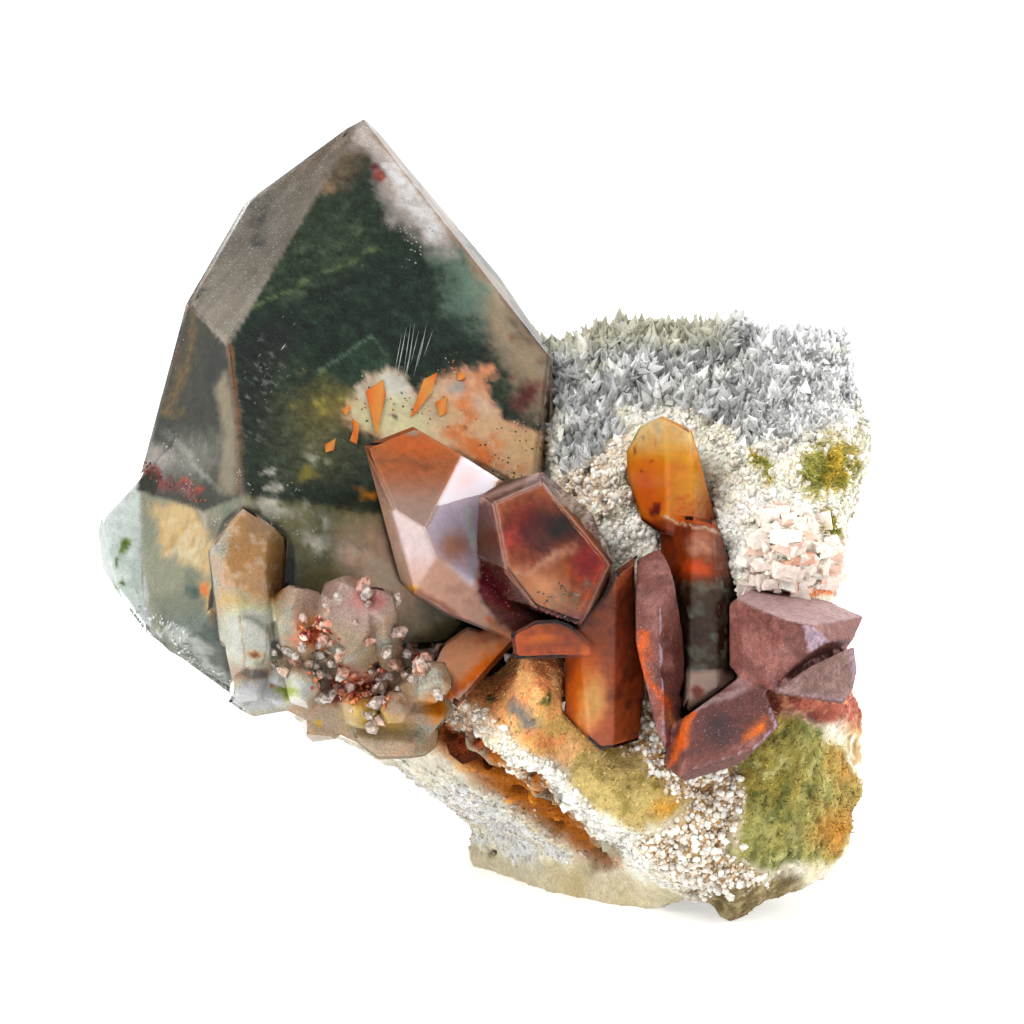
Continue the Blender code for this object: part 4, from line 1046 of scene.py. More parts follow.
def rock_relief(points, masks, paint, front):
    """How far the rock's surface stands out, in millimetres, and the shade of its grains."""
    lump, edge, shade = cell_noise(points, 1.5 * MM, 51)
    grain, _, grain_shade = cell_noise(points, 0.75 * MM, 61)
    rough = fractal(points, 3.0 * MM, 5, 41)
    fibre = fractal(points * np.array([1.6, 1.0, 0.5]), 1.1 * MM, 4, 43)
    height = 0.5 * rough + 0.35 * (0.6 - lump) + 0.22 * (0.6 - grain)
    calm = 1 - 0.85 * masks["base"] - 0.45 * masks["slab"] - 0.35 * masks["green"]
    height *= np.clip(calm - 0.3 * masks["block"], 0.1, 1)
    height += masks["sugar"] * (0.75 * (0.55 - lump) + 0.35 * (0.6 - grain))
    height += masks["ridge"] * (0.55 + 0.3 * (0.6 - grain))
    height += masks["vein"] * (-0.8 + 0.5 * rough + 1.6 * (lump - 0.5))
    height += masks["block"] * (0.9 * (shade - 0.5) - 0.5 * smooth(0.12, 0.0, edge - lump))
    height += (masks["moss"] + masks["tuft"]) * (0.45 * fibre + 0.25 * (shade - 0.5))
    height += masks["tuft"] * 0.5
    height += masks["crust"] * 0.5 * rough
    height -= 0.25 * masks["druse"]
    for x, y, width, tall, depth in HOLES:
        height -= depth * front * paint.spot(x, y, width, tall, 20, 0.7, 0.5)
    return height, grain_shade


def rock_colours(paint, masks, height, grain_shade, front):
    lay, spot, area = paint.lay, paint.spot, paint.area
    fog = fractal(paint.points, 6 * MM, 5, 91)
    fleck = fractal(paint.points, 0.9 * MM, 3, 93)
    lay((214, 208, 192), 1)
    lay((196, 184, 150), smooth(-0.05, 0.4, fog) * 0.8)
    lay((158, 152, 110), smooth(0.15, 0.5, fractal(paint.points, 4 * MM, 4, 95)) * 0.6)
    behind = 1 - front
    lay((158, 150, 130), behind * 0.9)
    lay((128, 122, 102), behind * smooth(-0.2, 0.3, fog) * 0.8)
    lay((178, 172, 158), behind * smooth(0.0, 0.4, paint.wave[:, 1]) * 0.8)
    lay((150, 98, 56), behind * smooth(0.1, 0.45, paint.wave[:, 0]) * 0.8)
    lay((112, 118, 70), behind * smooth(0.15, 0.5, -paint.wave[:, 0]) * 0.7)
    lay((98, 84, 66), behind * smooth(0.2, 0.45, fleck) * 0.6)
    upper = front * smooth(600, 560, paint.view[:, 1])
    lay((252, 243, 226), upper * 0.9)
    lay((214, 190, 160), upper * smooth(0.1, 0.5, paint.wave[:, 1]) * 0.5)
    lay((168, 136, 104), upper * spot(588, 478, 90, 120, 20, 1.0, 1.8) * 0.85)
    lay((222, 212, 200), upper * spot(640, 560, 60, 50, 20, 0.9, 1.6) * 0.7)
    strip = front * area([(852, 350), (876, 360), (876, 500), (846, 560), (846, 440)], 8)
    lay((192, 192, 168), strip * 0.8)
    lay((150, 156, 122), strip * smooth(0.0, 0.4, fleck) * 0.7)
    rim = front * area([(838, 716), (872, 700), (874, 860), (858, 850), (852, 760)], 6, 1.2)
    lay((186, 158, 120), rim)
    lay((120, 96, 66), rim * smooth(0.0, 0.35, fleck) * 0.7)
    lay((250, 244, 232), rim * smooth(0.1, 0.4, paint.fine[:, 0]) * 0.8)
    lay((176, 177, 174), masks["druse"])
    lay((206, 208, 206), masks["druse"] * smooth(0.0, 0.4, fog) * 0.7)
    lay((236, 220, 206), masks["block"])
    lay((214, 160, 138), masks["block"] * smooth(0.25, 0.5, paint.fine[:, 0]) * 0.8)
    lay((222, 178, 132), masks["slab"])
    lay((196, 168, 108), masks["slab"] * smooth(0.0, 0.35, paint.wave[:, 0]) * 0.8)
    lay((255, 176, 130), masks["slab"] * smooth(726, 676, paint.view[:, 1]))
    lay((226, 140, 100), masks["slab"] * smooth(0.05, 0.4, paint.fine[:, 1]) * 0.6)
    lay((120, 116, 112), masks["slab"] * spot(534, 714, 44, 32, 20, 0.9, 1.6))
    lay((78, 96, 62), masks["slab"] * spot(488, 708, 26, 22, 0, 0.9, 1.8))
    lay((84, 104, 60), masks["slab"] * spot(552, 690, 12, 9, 0, 0.8, 1.4))
    lay((184, 166, 116), masks["green"])
    lay((132, 118, 62), masks["green"] * smooth(-0.05, 0.35, paint.fine[:, 1]) * 0.8)
    lay((190, 140, 60), masks["green"] * spot(668, 800, 50, 26, 0, 0.9, 1.4) * 0.8)
    lay((152, 148, 96), masks["moss"])
    lay((160, 168, 124), masks["moss"] * spot(796, 758, 70, 70, 0, 0.9, 1.4) * 0.8)
    lay((140, 122, 58), masks["moss"] * smooth(-0.1, 0.4, paint.wave[:, 0]) * 0.7)
    lay((104, 110, 66), masks["moss"] * smooth(0.05, 0.35, paint.fine[:, 1]) * 0.8)
    lay((196, 192, 140), masks["moss"] * smooth(0.2, 0.45, paint.fine[:, 0]) * 0.6)
    lay((172, 126, 66), masks["moss"] * spot(838, 830, 66, 70, 30, 0.9, 1.4) * 0.9)
    lay((174, 130, 72), masks["moss"] * spot(846, 762, 40, 70, 0, 0.9, 1.4) * 0.8)
    lay((250, 244, 230), masks["pale"])
    lay((176, 170, 158), masks["pale"] * smooth(0.0, 0.4, fleck) * 0.45)
    lay((226, 186, 150), masks["pale"] * smooth(0.1, 0.5, paint.wave[:, 1]) * 0.5)
    lay((200, 190, 164), masks["base"])
    lay((184, 168, 126), masks["base"] * smooth(0.1, 0.5, fog) * 0.7)
    lay((198, 122, 40), masks["vein"])
    lay((236, 176, 76), masks["vein"] * smooth(-0.3, 0.2, height) * 0.9)
    lay((150, 66, 36), masks["vein"] * spot(456, 744, 80, 60, 40) * 0.9)
    broad = area(BROAD_RIDGE, 7, 1.0) * front
    lay((246, 236, 216), broad * 0.9)
    lay((196, 176, 142), broad * smooth(0.1, 0.45, fleck) * 0.5)
    lay((250, 240, 220), masks["ridge"])
    lay((222, 168, 138), masks["ridge"] * smooth(770, 720, paint.view[:, 1]) * 0.7)
    lay((176, 146, 106), masks["sugar"])
    lay((112, 98, 70), masks["lobe"])
    lay((176, 162, 128), masks["lobe"] * smooth(-0.1, 0.3, fleck) * 0.6)
    lay((152, 92, 78), masks["crust"])
    lay((216, 160, 130), masks["crust"] * smooth(0.1, 0.4, fleck) * 0.8)
    lay((146, 144, 84), masks["tuft"])
    lay((206, 178, 96), masks["tuft"] * smooth(0.0, 0.4, paint.fine[:, 0]) * 0.8)
    rusty = along(paint, ((740, 590), (800, 594), (846, 592)), 10) * front
    lay((212, 138, 100), rusty)
    # Painted shade: the holes are coloured dark brown inside.
    for x, y, width, tall, depth in HOLES:
        hole = front * spot(x, y, width * 0.8, tall * 0.8, 20, 0.7, 0.5)
        lay((70, 40, 24), hole * 0.85)
    paint.colour = graded(paint.colour, 1.12, 1.25)
    # Painted shade: the colour is darkened where the surface lies low, in pits and crevices, and less
    # so on the base.
    low = smooth(0.15, -0.55, height)
    paint.colour *= (1 - 0.45 * low * (1 - 0.7 * masks["base"]))[:, None]
    paint.colour *= (0.9 + 0.2 * grain_shade)[:, None]


def stone_look(name):
    n = Nodes(name)
    tint = n.attribute("tint", True)
    gloss = n.attribute("gloss")
    fine = n.noise(2.4, 5.0, 0.7)
    specks = n.cells(2.2)
    pepper = n.ramp(n.noise(3.6, 2.0, 0.7), 0.63, 0.70)
    toned = n.mix(1.0, tint, n.ramp(fine, 0.25, 0.75, 0.70, 1.22, False), "MULTIPLY")
    toned = n.mix(n.maths("MULTIPLY", pepper, 0.55), toned, rgb(96, 84, 66))
    glint = n.ramp(specks, 0.10, 0.05)
    toned = n.mix(n.maths("MULTIPLY", glint, 0.6), toned, rgb(246, 244, 238))
    rough = n.maths("SUBTRACT", n.ramp(fine, 0.3, 0.7, 0.72, 0.92), gloss)
    normal = n.bump(fine, 0.30, 0.9)
    normal = n.bump(specks, 0.12, 0.6, normal)
    n.set(colour=toned, roughness=rough, normal=normal, specular=0.35)
    return n.material


rock_mesh = remeshed(clean_copy("matrix", "vein_rock"), 0.8 * MM, "vein_rock")
finer_front(rock_mesh)
rock_points = corners(rock_mesh)
rock_normals = corner_normals(rock_mesh)
front_side = smooth(-0.15, 0.25, rock_normals @ np.array(-FORWARD))
rock_paint = Paint(rock_points, (0.6, 0.6, 0.6), seed=21)
masks = rock_masks(rock_paint, front_side)
crown = (smooth(0.15, 0.6, rock_normals[:, 2]) * smooth(62 * MM, 70 * MM, rock_points[:, 2]) *
         smooth(2 * MM, 8 * MM, rock_points[:, 0]))
masks["druse"] = np.maximum(masks["druse"], crown)
relief, grain_shade = rock_relief(rock_points, masks, rock_paint, front_side)
rock_colours(rock_paint, masks, relief, grain_shade, front_side)
stand = smooth(0.2 * MM, 1.2 * MM, rock_points[:, 2])
set_corners(rock_mesh, rock_points + rock_normals * (relief * stand * MM)[:, None])
rock_paint.store(rock_mesh)
put_value(rock_mesh, "gloss", 0.35 * masks["base"] + 0.15 * masks["druse"])
shade_smooth(rock_mesh)
rock_mesh.materials.append(stone_look("vein_rock_look"))
piece("vein_rock", rock_mesh, "matrix")


# Small grown forms that stand on the rock

def surface_samples(mesh, count, weights, chance):
    """Random points on a mesh, as likely as a weight on its corners says."""
    mesh.calc_loop_triangles()
    tri = np.zeros(len(mesh.loop_triangles) * 3, np.int32)
    mesh.loop_triangles.foreach_get("vertices", tri)
    tri = tri.reshape(-1, 3)
    co = corners(mesh)
    normals = corner_normals(mesh)
    a, b, c = co[tri[:, 0]], co[tri[:, 1]], co[tri[:, 2]]
    size = np.linalg.norm(np.cross(b - a, c - a), axis=1)
    odds = size * weights[tri].mean(axis=1)
    odds /= odds.sum()
    pick = chance.choice(len(tri), count, p=odds)
    u, v = chance.random(count), chance.random(count)
    flip = u + v > 1
    u[flip], v[flip] = 1 - u[flip], 1 - v[flip]
    mix = np.stack([1 - u - v, u, v], axis=1)
    spots = np.einsum("ij,ijk->ik", mix, co[tri[pick]])
    out = np.einsum("ij,ijk->ik", mix, normals[tri[pick]])
    out /= np.linalg.norm(out, axis=1)[:, None] + 1e-12
    return spots, out, tri[pick][:, 0]


def spread_out(spots, spacing):
    """Indices of points with at most one in each small cell of space."""
    cells = np.floor(spots / spacing).astype(np.int64)
    _, keep = np.unique(cells, axis=0, return_index=True)
    return np.sort(keep)


def frames_along(axes, chance):
    """Turn matrices whose third column is each axis, spun at random."""
    axes = axes / np.linalg.norm(axes, axis=1)[:, None]
    other = chance.normal(size=axes.shape)
    side = np.cross(axes, other)
    side /= np.linalg.norm(side, axis=1)[:, None]
    return np.stack([side, np.cross(axes, side), axes], axis=2)


def planted(name, shapes, faces, spots, turns, sizes, tones, material):
    """One mesh of many small forms. shapes is one set of corners for each form."""
    count, per = shapes.shape[:2]
    co = np.einsum("nij,nkj->nki", turns, shapes * sizes[:, None, :]) + spots[:, None, :]
    mesh = bpy.data.meshes.new(name)
    lists = [tuple(k + per * n for k in face) for n in range(count) for face in faces]
    mesh.from_pydata(co.reshape(-1, 3).tolist(), [], lists)
    put_colour(mesh, "tint", np.repeat(tones, per, axis=0))
    mesh.materials.append(material)
    return piece(name, mesh)


def point_form(count, chance, cap=0.4):
    """Six-sided points with uneven tips: root ring, shoulder ring and apex."""
    angle = np.arange(6) * math.pi / 3
    ring = np.stack([np.cos(angle), np.sin(angle), np.zeros(6)], axis=1)
    base = np.tile(np.vstack([ring, ring + [0, 0, 1 - cap], [[0, 0, 1]]]), (count, 1, 1))
    base[:, 6:12, 2] += chance.uniform(-0.12, 0.12, (count, 6))
    base[:, 12, :2] += chance.uniform(-0.3, 0.3, (count, 2))
    faces = [(k, (k + 1) % 6, 6 + (k + 1) % 6, 6 + k) for k in range(6)]
    faces += [(6 + k, 6 + (k + 1) % 6, 12) for k in range(6)]
    return base, faces


def grain_form(count, chance, uneven=(0.6, 1.3)):
    """Angular grains from a distorted eight-cornered block."""
    block = np.array([[x, y, z] for x in (-1, 1) for y in (-1, 1) for z in (-1, 1)], float)
    base = np.tile(block * 0.62, (count, 1, 1)) * chance.uniform(*uneven, (count, 8, 1))
    faces = [(0, 1, 3, 2), (4, 6, 7, 5), (0, 4, 5, 1), (2, 3, 7, 6), (0, 2, 6, 4), (1, 5, 7, 3)]
    return base, faces


def lump_form(count, chance):
    """Uneven round lumps with twenty faces."""
    g = (1 + math.sqrt(5)) / 2
    ball = np.array([(-1, g, 0), (1, g, 0), (-1, -g, 0), (1, -g, 0), (0, -1, g), (0, 1, g),
                     (0, -1, -g), (0, 1, -g), (g, 0, -1), (g, 0, 1), (-g, 0, -1), (-g, 0, 1)])
    base = np.tile(ball / 1.9, (count, 1, 1)) * chance.uniform(0.7, 1.25, (count, 12, 1))
    faces = [(0, 11, 5), (0, 5, 1), (0, 1, 7), (0, 7, 10), (0, 10, 11), (1, 5, 9), (5, 11, 4),
             (11, 10, 2), (10, 7, 6), (7, 1, 8), (3, 9, 4), (3, 4, 2), (3, 2, 6), (3, 6, 8),
             (3, 8, 9), (4, 9, 5), (2, 4, 11), (6, 2, 10), (8, 6, 7), (9, 8, 1)]
    return base, faces


def blade_form(count, chance):
    """Thin leaning blades of moss-like chlorite."""
    blade = np.array([[-1, 0, 0], [1, 0, 0], [0, 1, 0], [0, 0, 1]], float)
    base = np.tile(blade, (count, 1, 1))
    base[:, 3, :2] += chance.uniform(-1.5, 1.5, (count, 2))
    return base, [(0, 1, 3), (1, 2, 3), (2, 0, 3)]


def crystal_look(name, roughness, specular):
    n = Nodes(name)
    tint = n.attribute("tint", True)
    cloudy = n.noise(1.6, 4.0, 0.6)
    colour = n.mix(1.0, tint, n.ramp(cloudy, 0.3, 0.7, 0.82, 1.12, False), "MULTIPLY")
    rough = n.ramp(n.noise(4.0, 3.0), 0.3, 0.7, roughness, roughness + 0.25)
    n.set(colour=colour, roughness=rough, specular=specular,
          normal=n.bump(n.noise(5.0, 3.0), 0.03, 0.5))
    return n.material


chance = np.random.default_rng(SEED)
druse_look = crystal_look("druse_look", 0.16, 0.9)
grain_look = crystal_look("grain_look", 0.45, 0.45)
moss_look = crystal_look("moss_look", 0.7, 0.25)


def plant_druse(name, count, spacing, radius, lengths, weights):
    """Small quartz points on the rock, with their spacing and radius in millimetres."""
    spots, out, _ = surface_samples(rock_mesh, count, weights, chance)
    keep = spread_out(spots, spacing * MM)
    spots, out = spots[keep], out[keep]
    axes = out * 0.45 + np.array([0, -0.35, 0.6]) + chance.normal(size=out.shape) * 0.30
    turns = frames_along(axes, chance)
    width = chance.uniform(*radius, len(spots)) * MM
    sizes = np.stack([width, width * chance.uniform(0.5, 0.9, len(spots)),
                      width * chance.uniform(*lengths, len(spots))], axis=1)
    forms, faces = point_form(len(spots), chance, 0.8)
    patch = fractal(spots, 5 * MM, 3, 97)
    view = on_picture(spots)
    right = smooth(720, 800, view[:, 0])
    tones = np.array([rgb(220, 221, 220)]) * (0.92 + 0.3 * patch + 0.25 * right)[:, None]
    tones = tones * chance.uniform(0.55, 1.3, (len(spots), 1))
    warm = smooth(0.0, 0.5, patch) * chance.random(len(spots))
    tones = tones * (1 - 0.25 * warm[:, None] * np.array([0, 0.15, 0.9]))
    crest = (smooth(362, 336, view[:, 1]) * smooth(745, 705, view[:, 0]))[:, None] * 0.6
    tones = tones * (1 - crest) + np.array(rgb(186, 182, 150)) * crest
    axes = axes / np.linalg.norm(axes, axis=1)[:, None]
    starts = spots - axes * (0.2 * sizes[:, 2:3])
    planted(name, forms, faces, starts, turns, sizes, np.clip(tones, 0, 0.9), druse_look)


coarse = smooth(800, 730, rock_paint.view[:, 0])
plant_druse("druse_points", 4200, spacing=1.05, radius=(0.40, 0.90), lengths=(2.2, 3.6),
            weights=masks["druse"] ** 2 * coarse)
plant_druse("fine_druse", 9000, spacing=0.66, radius=(0.22, 0.5), lengths=(2.2, 3.4),
            weights=masks["druse"] ** 2 * (1.2 - coarse))

patches = smooth(0.12, 0.3, fractal(rock_points, 12 * MM, 3, 99)) * (1 - front_side)
patches *= smooth(12 * MM, 20 * MM, rock_points[:, 2])
plant_druse("back_druse", 1500, spacing=0.95, radius=(0.35, 0.85), lengths=(1.4, 2.6),
            weights=patches)


def strew(name, count, weights, form, tones, shades, radius, lean, spacing=None,
          stretch=(1, 1), tall=None, look=grain_look):
    """Small forms over the rock, with their radius and spacing in millimetres.

    tones turns the rock's colour at a form into the form's own, and shades makes it vary."""
    spots, out, near = surface_samples(rock_mesh, count, weights, chance)
    if spacing:
        keep = spread_out(spots, spacing * MM)
        spots, out, near = spots[keep], out[keep], near[keep]
    if lean:
        out = out + chance.normal(size=out.shape) * lean
    turns = frames_along(out, chance)
    width = chance.uniform(*radius, len(spots)) * MM
    if tall:
        sizes = np.stack([width, width, width * chance.uniform(*tall, len(spots))], axis=1)
    else:
        sizes = width[:, None] * chance.uniform(*stretch, (len(spots), 3))
    forms, faces = form(len(spots), chance)
    colours = tones(rock_paint.colour[near]) * chance.uniform(*shades, (len(spots), 1))
    return planted(name, forms, faces, spots, turns, sizes, np.clip(colours, 0, LIGHTEST), look)


upper_rock = front_side * smooth(600, 560, rock_paint.view[:, 1]) * (1 - masks["druse"])
upper_rock *= 1 - masks["tuft"]
strew("sugar_grains", 11500,
      masks["sugar"] + 0.8 * masks["ridge"] + 0.6 * masks["pale"] + 0.35 * masks["block"] +
      0.8 * upper_rock, grain_form,
      tones=lambda rock: rock * 0.45 + np.array(rgb(246, 236, 222)) * 0.55, shades=(0.6, 1.15),
      radius=(0.14, 0.42), lean=0.5, spacing=0.42, stretch=(0.7, 1.3))
lumps = strew("white_lumps", 4200,
              (masks["sugar"] ** 2 + 0.3 * masks["ridge"] +
               0.55 * upper_rock * (1 - masks["block"])) * smooth(-0.25, 0.1, relief), lump_form,
              tones=lambda rock: np.array(rgb(250, 243, 232)), shades=(0.72, 1.1),
              radius=(0.18, 0.66), lean=0, spacing=0.75, stretch=(0.75, 1.15))
shade_smooth(lumps.data)
strew("moss_blades", 4000, 0.10 * masks["moss"] + 1.6 * masks["tuft"] + 0.10 * masks["green"],
      blade_form, tones=lambda rock: rock, shades=(0.75, 1.5), radius=(0.06, 0.16), lean=0.45,
      tall=(3, 8), look=moss_look)
strew("coloured_sand", 6000,
      masks["slab"] + masks["green"] + masks["moss"] + 0.7 * masks["vein"] +
      0.6 * masks["lobe"] + 0.5 * masks["crust"] + 0.5 * masks["pale"] + 1.5 * masks["tuft"],
      grain_form, tones=lambda rock: rock, shades=(0.5, 1.45), radius=(0.06, 0.20), lean=0.6,
      stretch=(0.6, 1.4))


def chosen_spots(mesh, count, choose):
    """Random places on the side of a mesh that faces the photograph, picked by a paint mask."""
    spots, out, _ = surface_samples(mesh, count, np.ones(len(mesh.vertices)), chance)
    paint = Paint(spots, (0.5, 0.5, 0.5), seed=77)
    keep = (out @ np.array(-FORWARD) > 0.0) & (chance.random(count) < choose(paint))
    return spots[keep], out[keep]


def crumbs(name, node, count, choose, radius, tones, form=grain_form, tall=(0.7, 1.3),
           look=None, sink=0.1):
    """Small grains or points that grow on a crystal, or lie that far under its faces."""
    spots, out = chosen_spots(clean_copy(node, name + "_source"), count, choose)
    lean = 0.5 if form is grain_form else 0.35
    axes = out + chance.normal(size=out.shape) * lean
    width = chance.uniform(*radius, len(spots)) * MM
    sizes = np.stack([width, width * chance.uniform(0.7, 1.1, len(spots)),
                      width * chance.uniform(*tall, len(spots))], axis=1)
    forms, faces = form(len(spots), chance)
    pick = chance.integers(0, len(tones), len(spots))
    colours = np.array(tones)[pick] * chance.uniform(0.75, 1.2, (len(spots), 1))
    planted(name, forms, faces, spots - out * sink * MM, frames_along(axes, chance), sizes,
            np.clip(colours, 0, LIGHTEST), look or grain_look)


def cluster(paint):
    return 0.8 * paint.area([(282, 616), (330, 584), (400, 590), (452, 632), (440, 690), (360, 716),
        (300, 690)], 6, 0.8)


def glassy_look(name):
    n = Nodes(name)
    cloudy = n.noise(1.8, 4.0, 0.6)
    colour = n.mix(1.0, n.attribute("tint", True), n.ramp(cloudy, 0.3, 0.7, 0.8, 1.1, False),
                   "MULTIPLY")
    n.set(colour=colour, roughness=n.ramp(n.noise(4.0, 3.0), 0.3, 0.7, 0.05, 0.16),
          transmission=n.ramp(cloudy, 0.35, 0.6, 0.75, 0.35), ior=QUARTZ_IOR,
          normal=n.bump(n.noise(5.0, 3.0), 0.03, 0.5))
    return n.material


def rust_rim(paint):
    return 0.5 * np.maximum(paint.stroke(190, 300, 144, 436, 11),
        0.5 * paint.stroke(247, 200, 190, 300, 5, 0.9, 0.5))


def white_band(paint):
    return paint.stroke(143, 612, 242, 694, 17, 0.8, 1.2)


def red_clumps(paint):
    return np.maximum(paint.spot(357, 688, 70, 42, 0, 0.8, 1.4),
                      np.maximum(paint.spot(315, 635, 46, 34, 20, 0.8, 1.2),
                                 0.8 * paint.spot(410, 650, 24, 50, 0, 0.9, 1.2)))


def pale_facets(paint):
    return paint.area([(262, 650), (330, 634), (360, 660), (330, 680), (280, 676)], 5, 0.8)


def white_clouds(paint):
    mask = np.zeros(len(paint.points))
    for x, y, width, height in ((273, 512, 46, 26), (322, 546, 66, 32), (372, 556, 60, 38),
                                (262, 480, 44, 26), (300, 476, 26, 14), (176, 462, 60, 44),
                                (206, 540, 26, 60), (410, 236, 40, 60)):
        mask = np.maximum(mask, paint.spot(x, y, width, height, 15, 0.9, 1.6))
    return mask * smooth(-0.05, 0.3, paint.fine[:, 0])


def cloud_grains(paint):
    return paint.area(CREAM_ZONE, 6, 1.2) * smooth(0.0, 0.3, paint.fine[:, 1])


def moss_band(paint):
    return (paint.spot(322, 250, 120, 96, -30, 0.9, 1.2) +
            0.4 * paint.spot(360, 300, 140, 120, 0, 0.9, 1.2)) * smooth(0.05, 0.35, paint.fine[:, 0])


def green_tuft(paint):
    return paint.spot(560, 598, 46, 26, 0, 0.8, 1.6)


def maroon_grit(paint):
    return np.maximum(paint.area([(478, 562), (506, 580), (510, 606), (494, 604), (480, 590)], 3, 0.8),
                      0.5 * paint.stroke(504, 616, 578, 620, 20, 0.9, 0.9))


crumbs("white_flecks", "main_crystal", 50000, white_clouds, (0.05, 0.16),
       [rgb(244, 242, 236), rgb(222, 222, 212)], sink=0.32)
crumbs("cloud_flecks", "main_crystal", 26000, cloud_grains, (0.05, 0.17),
       [rgb(244, 140, 82), rgb(255, 236, 206), rgb(255, 226, 190), rgb(76, 84, 60)],
       sink=0.32)
crumbs("moss_flecks", "main_crystal", 26000, moss_band, (0.04, 0.11),
       [rgb(118, 134, 98), rgb(150, 164, 122), rgb(84, 100, 72)], sink=0.32)
crumbs("tuft_flecks", "pink_crystals", 16000, green_tuft, (0.08, 0.2),
       [rgb(112, 128, 110), rgb(84, 100, 84), rgb(150, 160, 140)], sink=0.12)
crumbs("maroon_flecks", "pink_crystals", 12000, maroon_grit, (0.06, 0.16),
       [rgb(122, 54, 58), rgb(84, 34, 38), rgb(170, 120, 116)], sink=0.08)
crumbs("red_crust", "main_crystal", 90000, red_line, (0.07, 0.20),
       [rgb(134, 60, 54), rgb(186, 106, 78), rgb(106, 44, 42)])
crumbs("rust_crust", "main_crystal", 60000, rust_rim, (0.06, 0.16),
       [rgb(150, 84, 66), rgb(112, 56, 48), rgb(190, 150, 128)])
crumbs("white_crust", "main_crystal", 60000, white_band, (0.08, 0.24),
       [rgb(236, 238, 232), rgb(206, 212, 204)])
crumbs("red_grains", "small_crystals", 9000, red_clumps, (0.14, 0.42),
       [rgb(206, 110, 84), rgb(232, 152, 104), rgb(160, 66, 58), rgb(236, 196, 176)])
glassy = glassy_look("glassy_point_look")
crumbs("glassy_points", "small_crystals", 420, cluster, (0.35, 0.85),
       [rgb(246, 214, 200), rgb(240, 190, 168), rgb(244, 228, 218)], point_form,
       (2.0, 3.4), glassy)
crumbs("red_points", "small_crystals", 900, red_clumps, (0.30, 0.60),
       [rgb(226, 160, 136), rgb(238, 206, 190)], point_form, (2.0, 3.0))
crumbs("pale_points", "small_crystals", 500, pale_facets, (0.30, 0.70),
       [rgb(238, 226, 214), rgb(226, 200, 180)], point_form, (2.0, 3.0), glassy)

BLOCK_CHIPS = 170
block_spots = surface_samples(rock_mesh, BLOCK_CHIPS, masks["block"] ** 2, chance)
upward = np.array([0.10, -0.16, 0.98]) + chance.normal(size=(BLOCK_CHIPS, 3)) * 0.15
sideways = np.array([0.93, 0.36, 0.0]) + chance.normal(size=(BLOCK_CHIPS, 3)) * 0.22
upward /= np.linalg.norm(upward, axis=1)[:, None]
sideways -= upward * np.sum(sideways * upward, axis=1)[:, None]
sideways /= np.linalg.norm(sideways, axis=1)[:, None]
turns = np.stack([sideways, np.cross(upward, sideways), upward], axis=2)
sizes = chance.uniform((0.5, 0.6, 0.4), (2.5, 1.7, 1.7), (BLOCK_CHIPS, 3)) * MM
forms, faces = grain_form(BLOCK_CHIPS, chance, (0.7, 1.15))
tones = np.array([rgb(248, 234, 222), rgb(240, 206, 188), rgb(252, 242, 230),
                  rgb(226, 176, 150)])
tones = tones[chance.choice(4, BLOCK_CHIPS, p=(0.4, 0.2, 0.36, 0.04))]
tones = tones * chance.uniform(0.85, 1.05, (BLOCK_CHIPS, 1))
planted("block_chips", forms, faces, block_spots[0], turns, sizes, np.clip(tones, 0, LIGHTEST),
        grain_look)


# Sandy coated crystals

def purple_paint(paint, normals):
    lay, spot, stroke, area = paint.lay, paint.spot, paint.stroke, paint.area
    fog = fractal(paint.points, 3 * MM, 5, 31)
    lay((114, 73, 66), 1)
    lay((150, 110, 104), smooth(-0.05, 0.4, fog) * 0.7)
    lay((88, 52, 48), smooth(0.1, 0.5, fractal(paint.points, 2 * MM, 4, 37)) * 0.6)
    # Painted light: faces that look up, on the right, are painted lighter.
    top = smooth(0.5, 0.9, normals[:, 2])
    lay((160, 136, 136), top * smooth(720, 740, paint.view[:, 0]) * 0.8)
    lilac = smooth(0.93, 0.97, normals @ np.array(facing(-60, 1)))
    lay((166, 148, 160), lilac * 0.9)
    # Painted shade: faces that look down are painted darker.
    under = smooth(-0.2, -0.5, normals[:, 2])
    lay((88, 58, 54), under * 0.8)
    lay((190, 96, 52), stroke(642, 640, 668, 724, 12, 0.9, 1.0) * 0.85)
    lay((196, 150, 120), spot(668, 722, 16, 24) * 0.7)
    foot = area([(664, 770), (682, 706), (742, 682), (772, 694), (764, 734)], 5, 0.5)
    lay((92, 56, 52), foot * 0.9)
    lay((52, 36, 40), foot * spot(716, 724, 40, 40) * 0.8)
    lay((196, 104, 58), foot * stroke(672, 768, 690, 712, 11, 0.8, 0.6) * 0.9)
    lay((204, 116, 70), foot * spot(752, 734, 34, 20, -30))
    lay((160, 140, 140), foot * stroke(690, 708, 748, 684, 10, 0.8) * 0.7)
    grey = area([(780, 690), (812, 664), (852, 650), (856, 690), (842, 700)], 4, 0.4)
    lay((132, 108, 102), grey)
    lay((112, 84, 78), grey * smooth(0.0, 0.4, paint.fine[:, 0]) * 0.7)


purple_mesh = remeshed(clean_copy("purple_crystals", "purple_crust"), 0.32 * MM, "purple_crust")
purple_points = corners(purple_mesh)
purple_normals = corner_normals(purple_mesh)
sandy = Paint(purple_points, (0.3, 0.2, 0.2), seed=33)
purple_paint(sandy, purple_normals)
sand, _, sand_shade = cell_noise(purple_points, 0.45 * MM, 35)
sandy.colour = graded(sandy.colour, 1.25, 1.05) * (0.72 + 0.5 * sand_shade)[:, None]
coat = 0.10 * (0.5 - sand) + 0.10 * fractal(purple_points, 2.0 * MM, 4, 39)
for x, y, width, tall in ((664, 640, 12, 16), (668, 672, 12, 18), (688, 692, 18, 20)):
    coat -= 0.6 * sandy.spot(x, y, width, tall, 20, 0.7, 0.4)
set_corners(purple_mesh, purple_points + purple_normals * (coat * MM)[:, None])
sandy.store(purple_mesh)
put_value(purple_mesh, "gloss", np.full(len(purple_points), 0.25))
shade_smooth(purple_mesh)


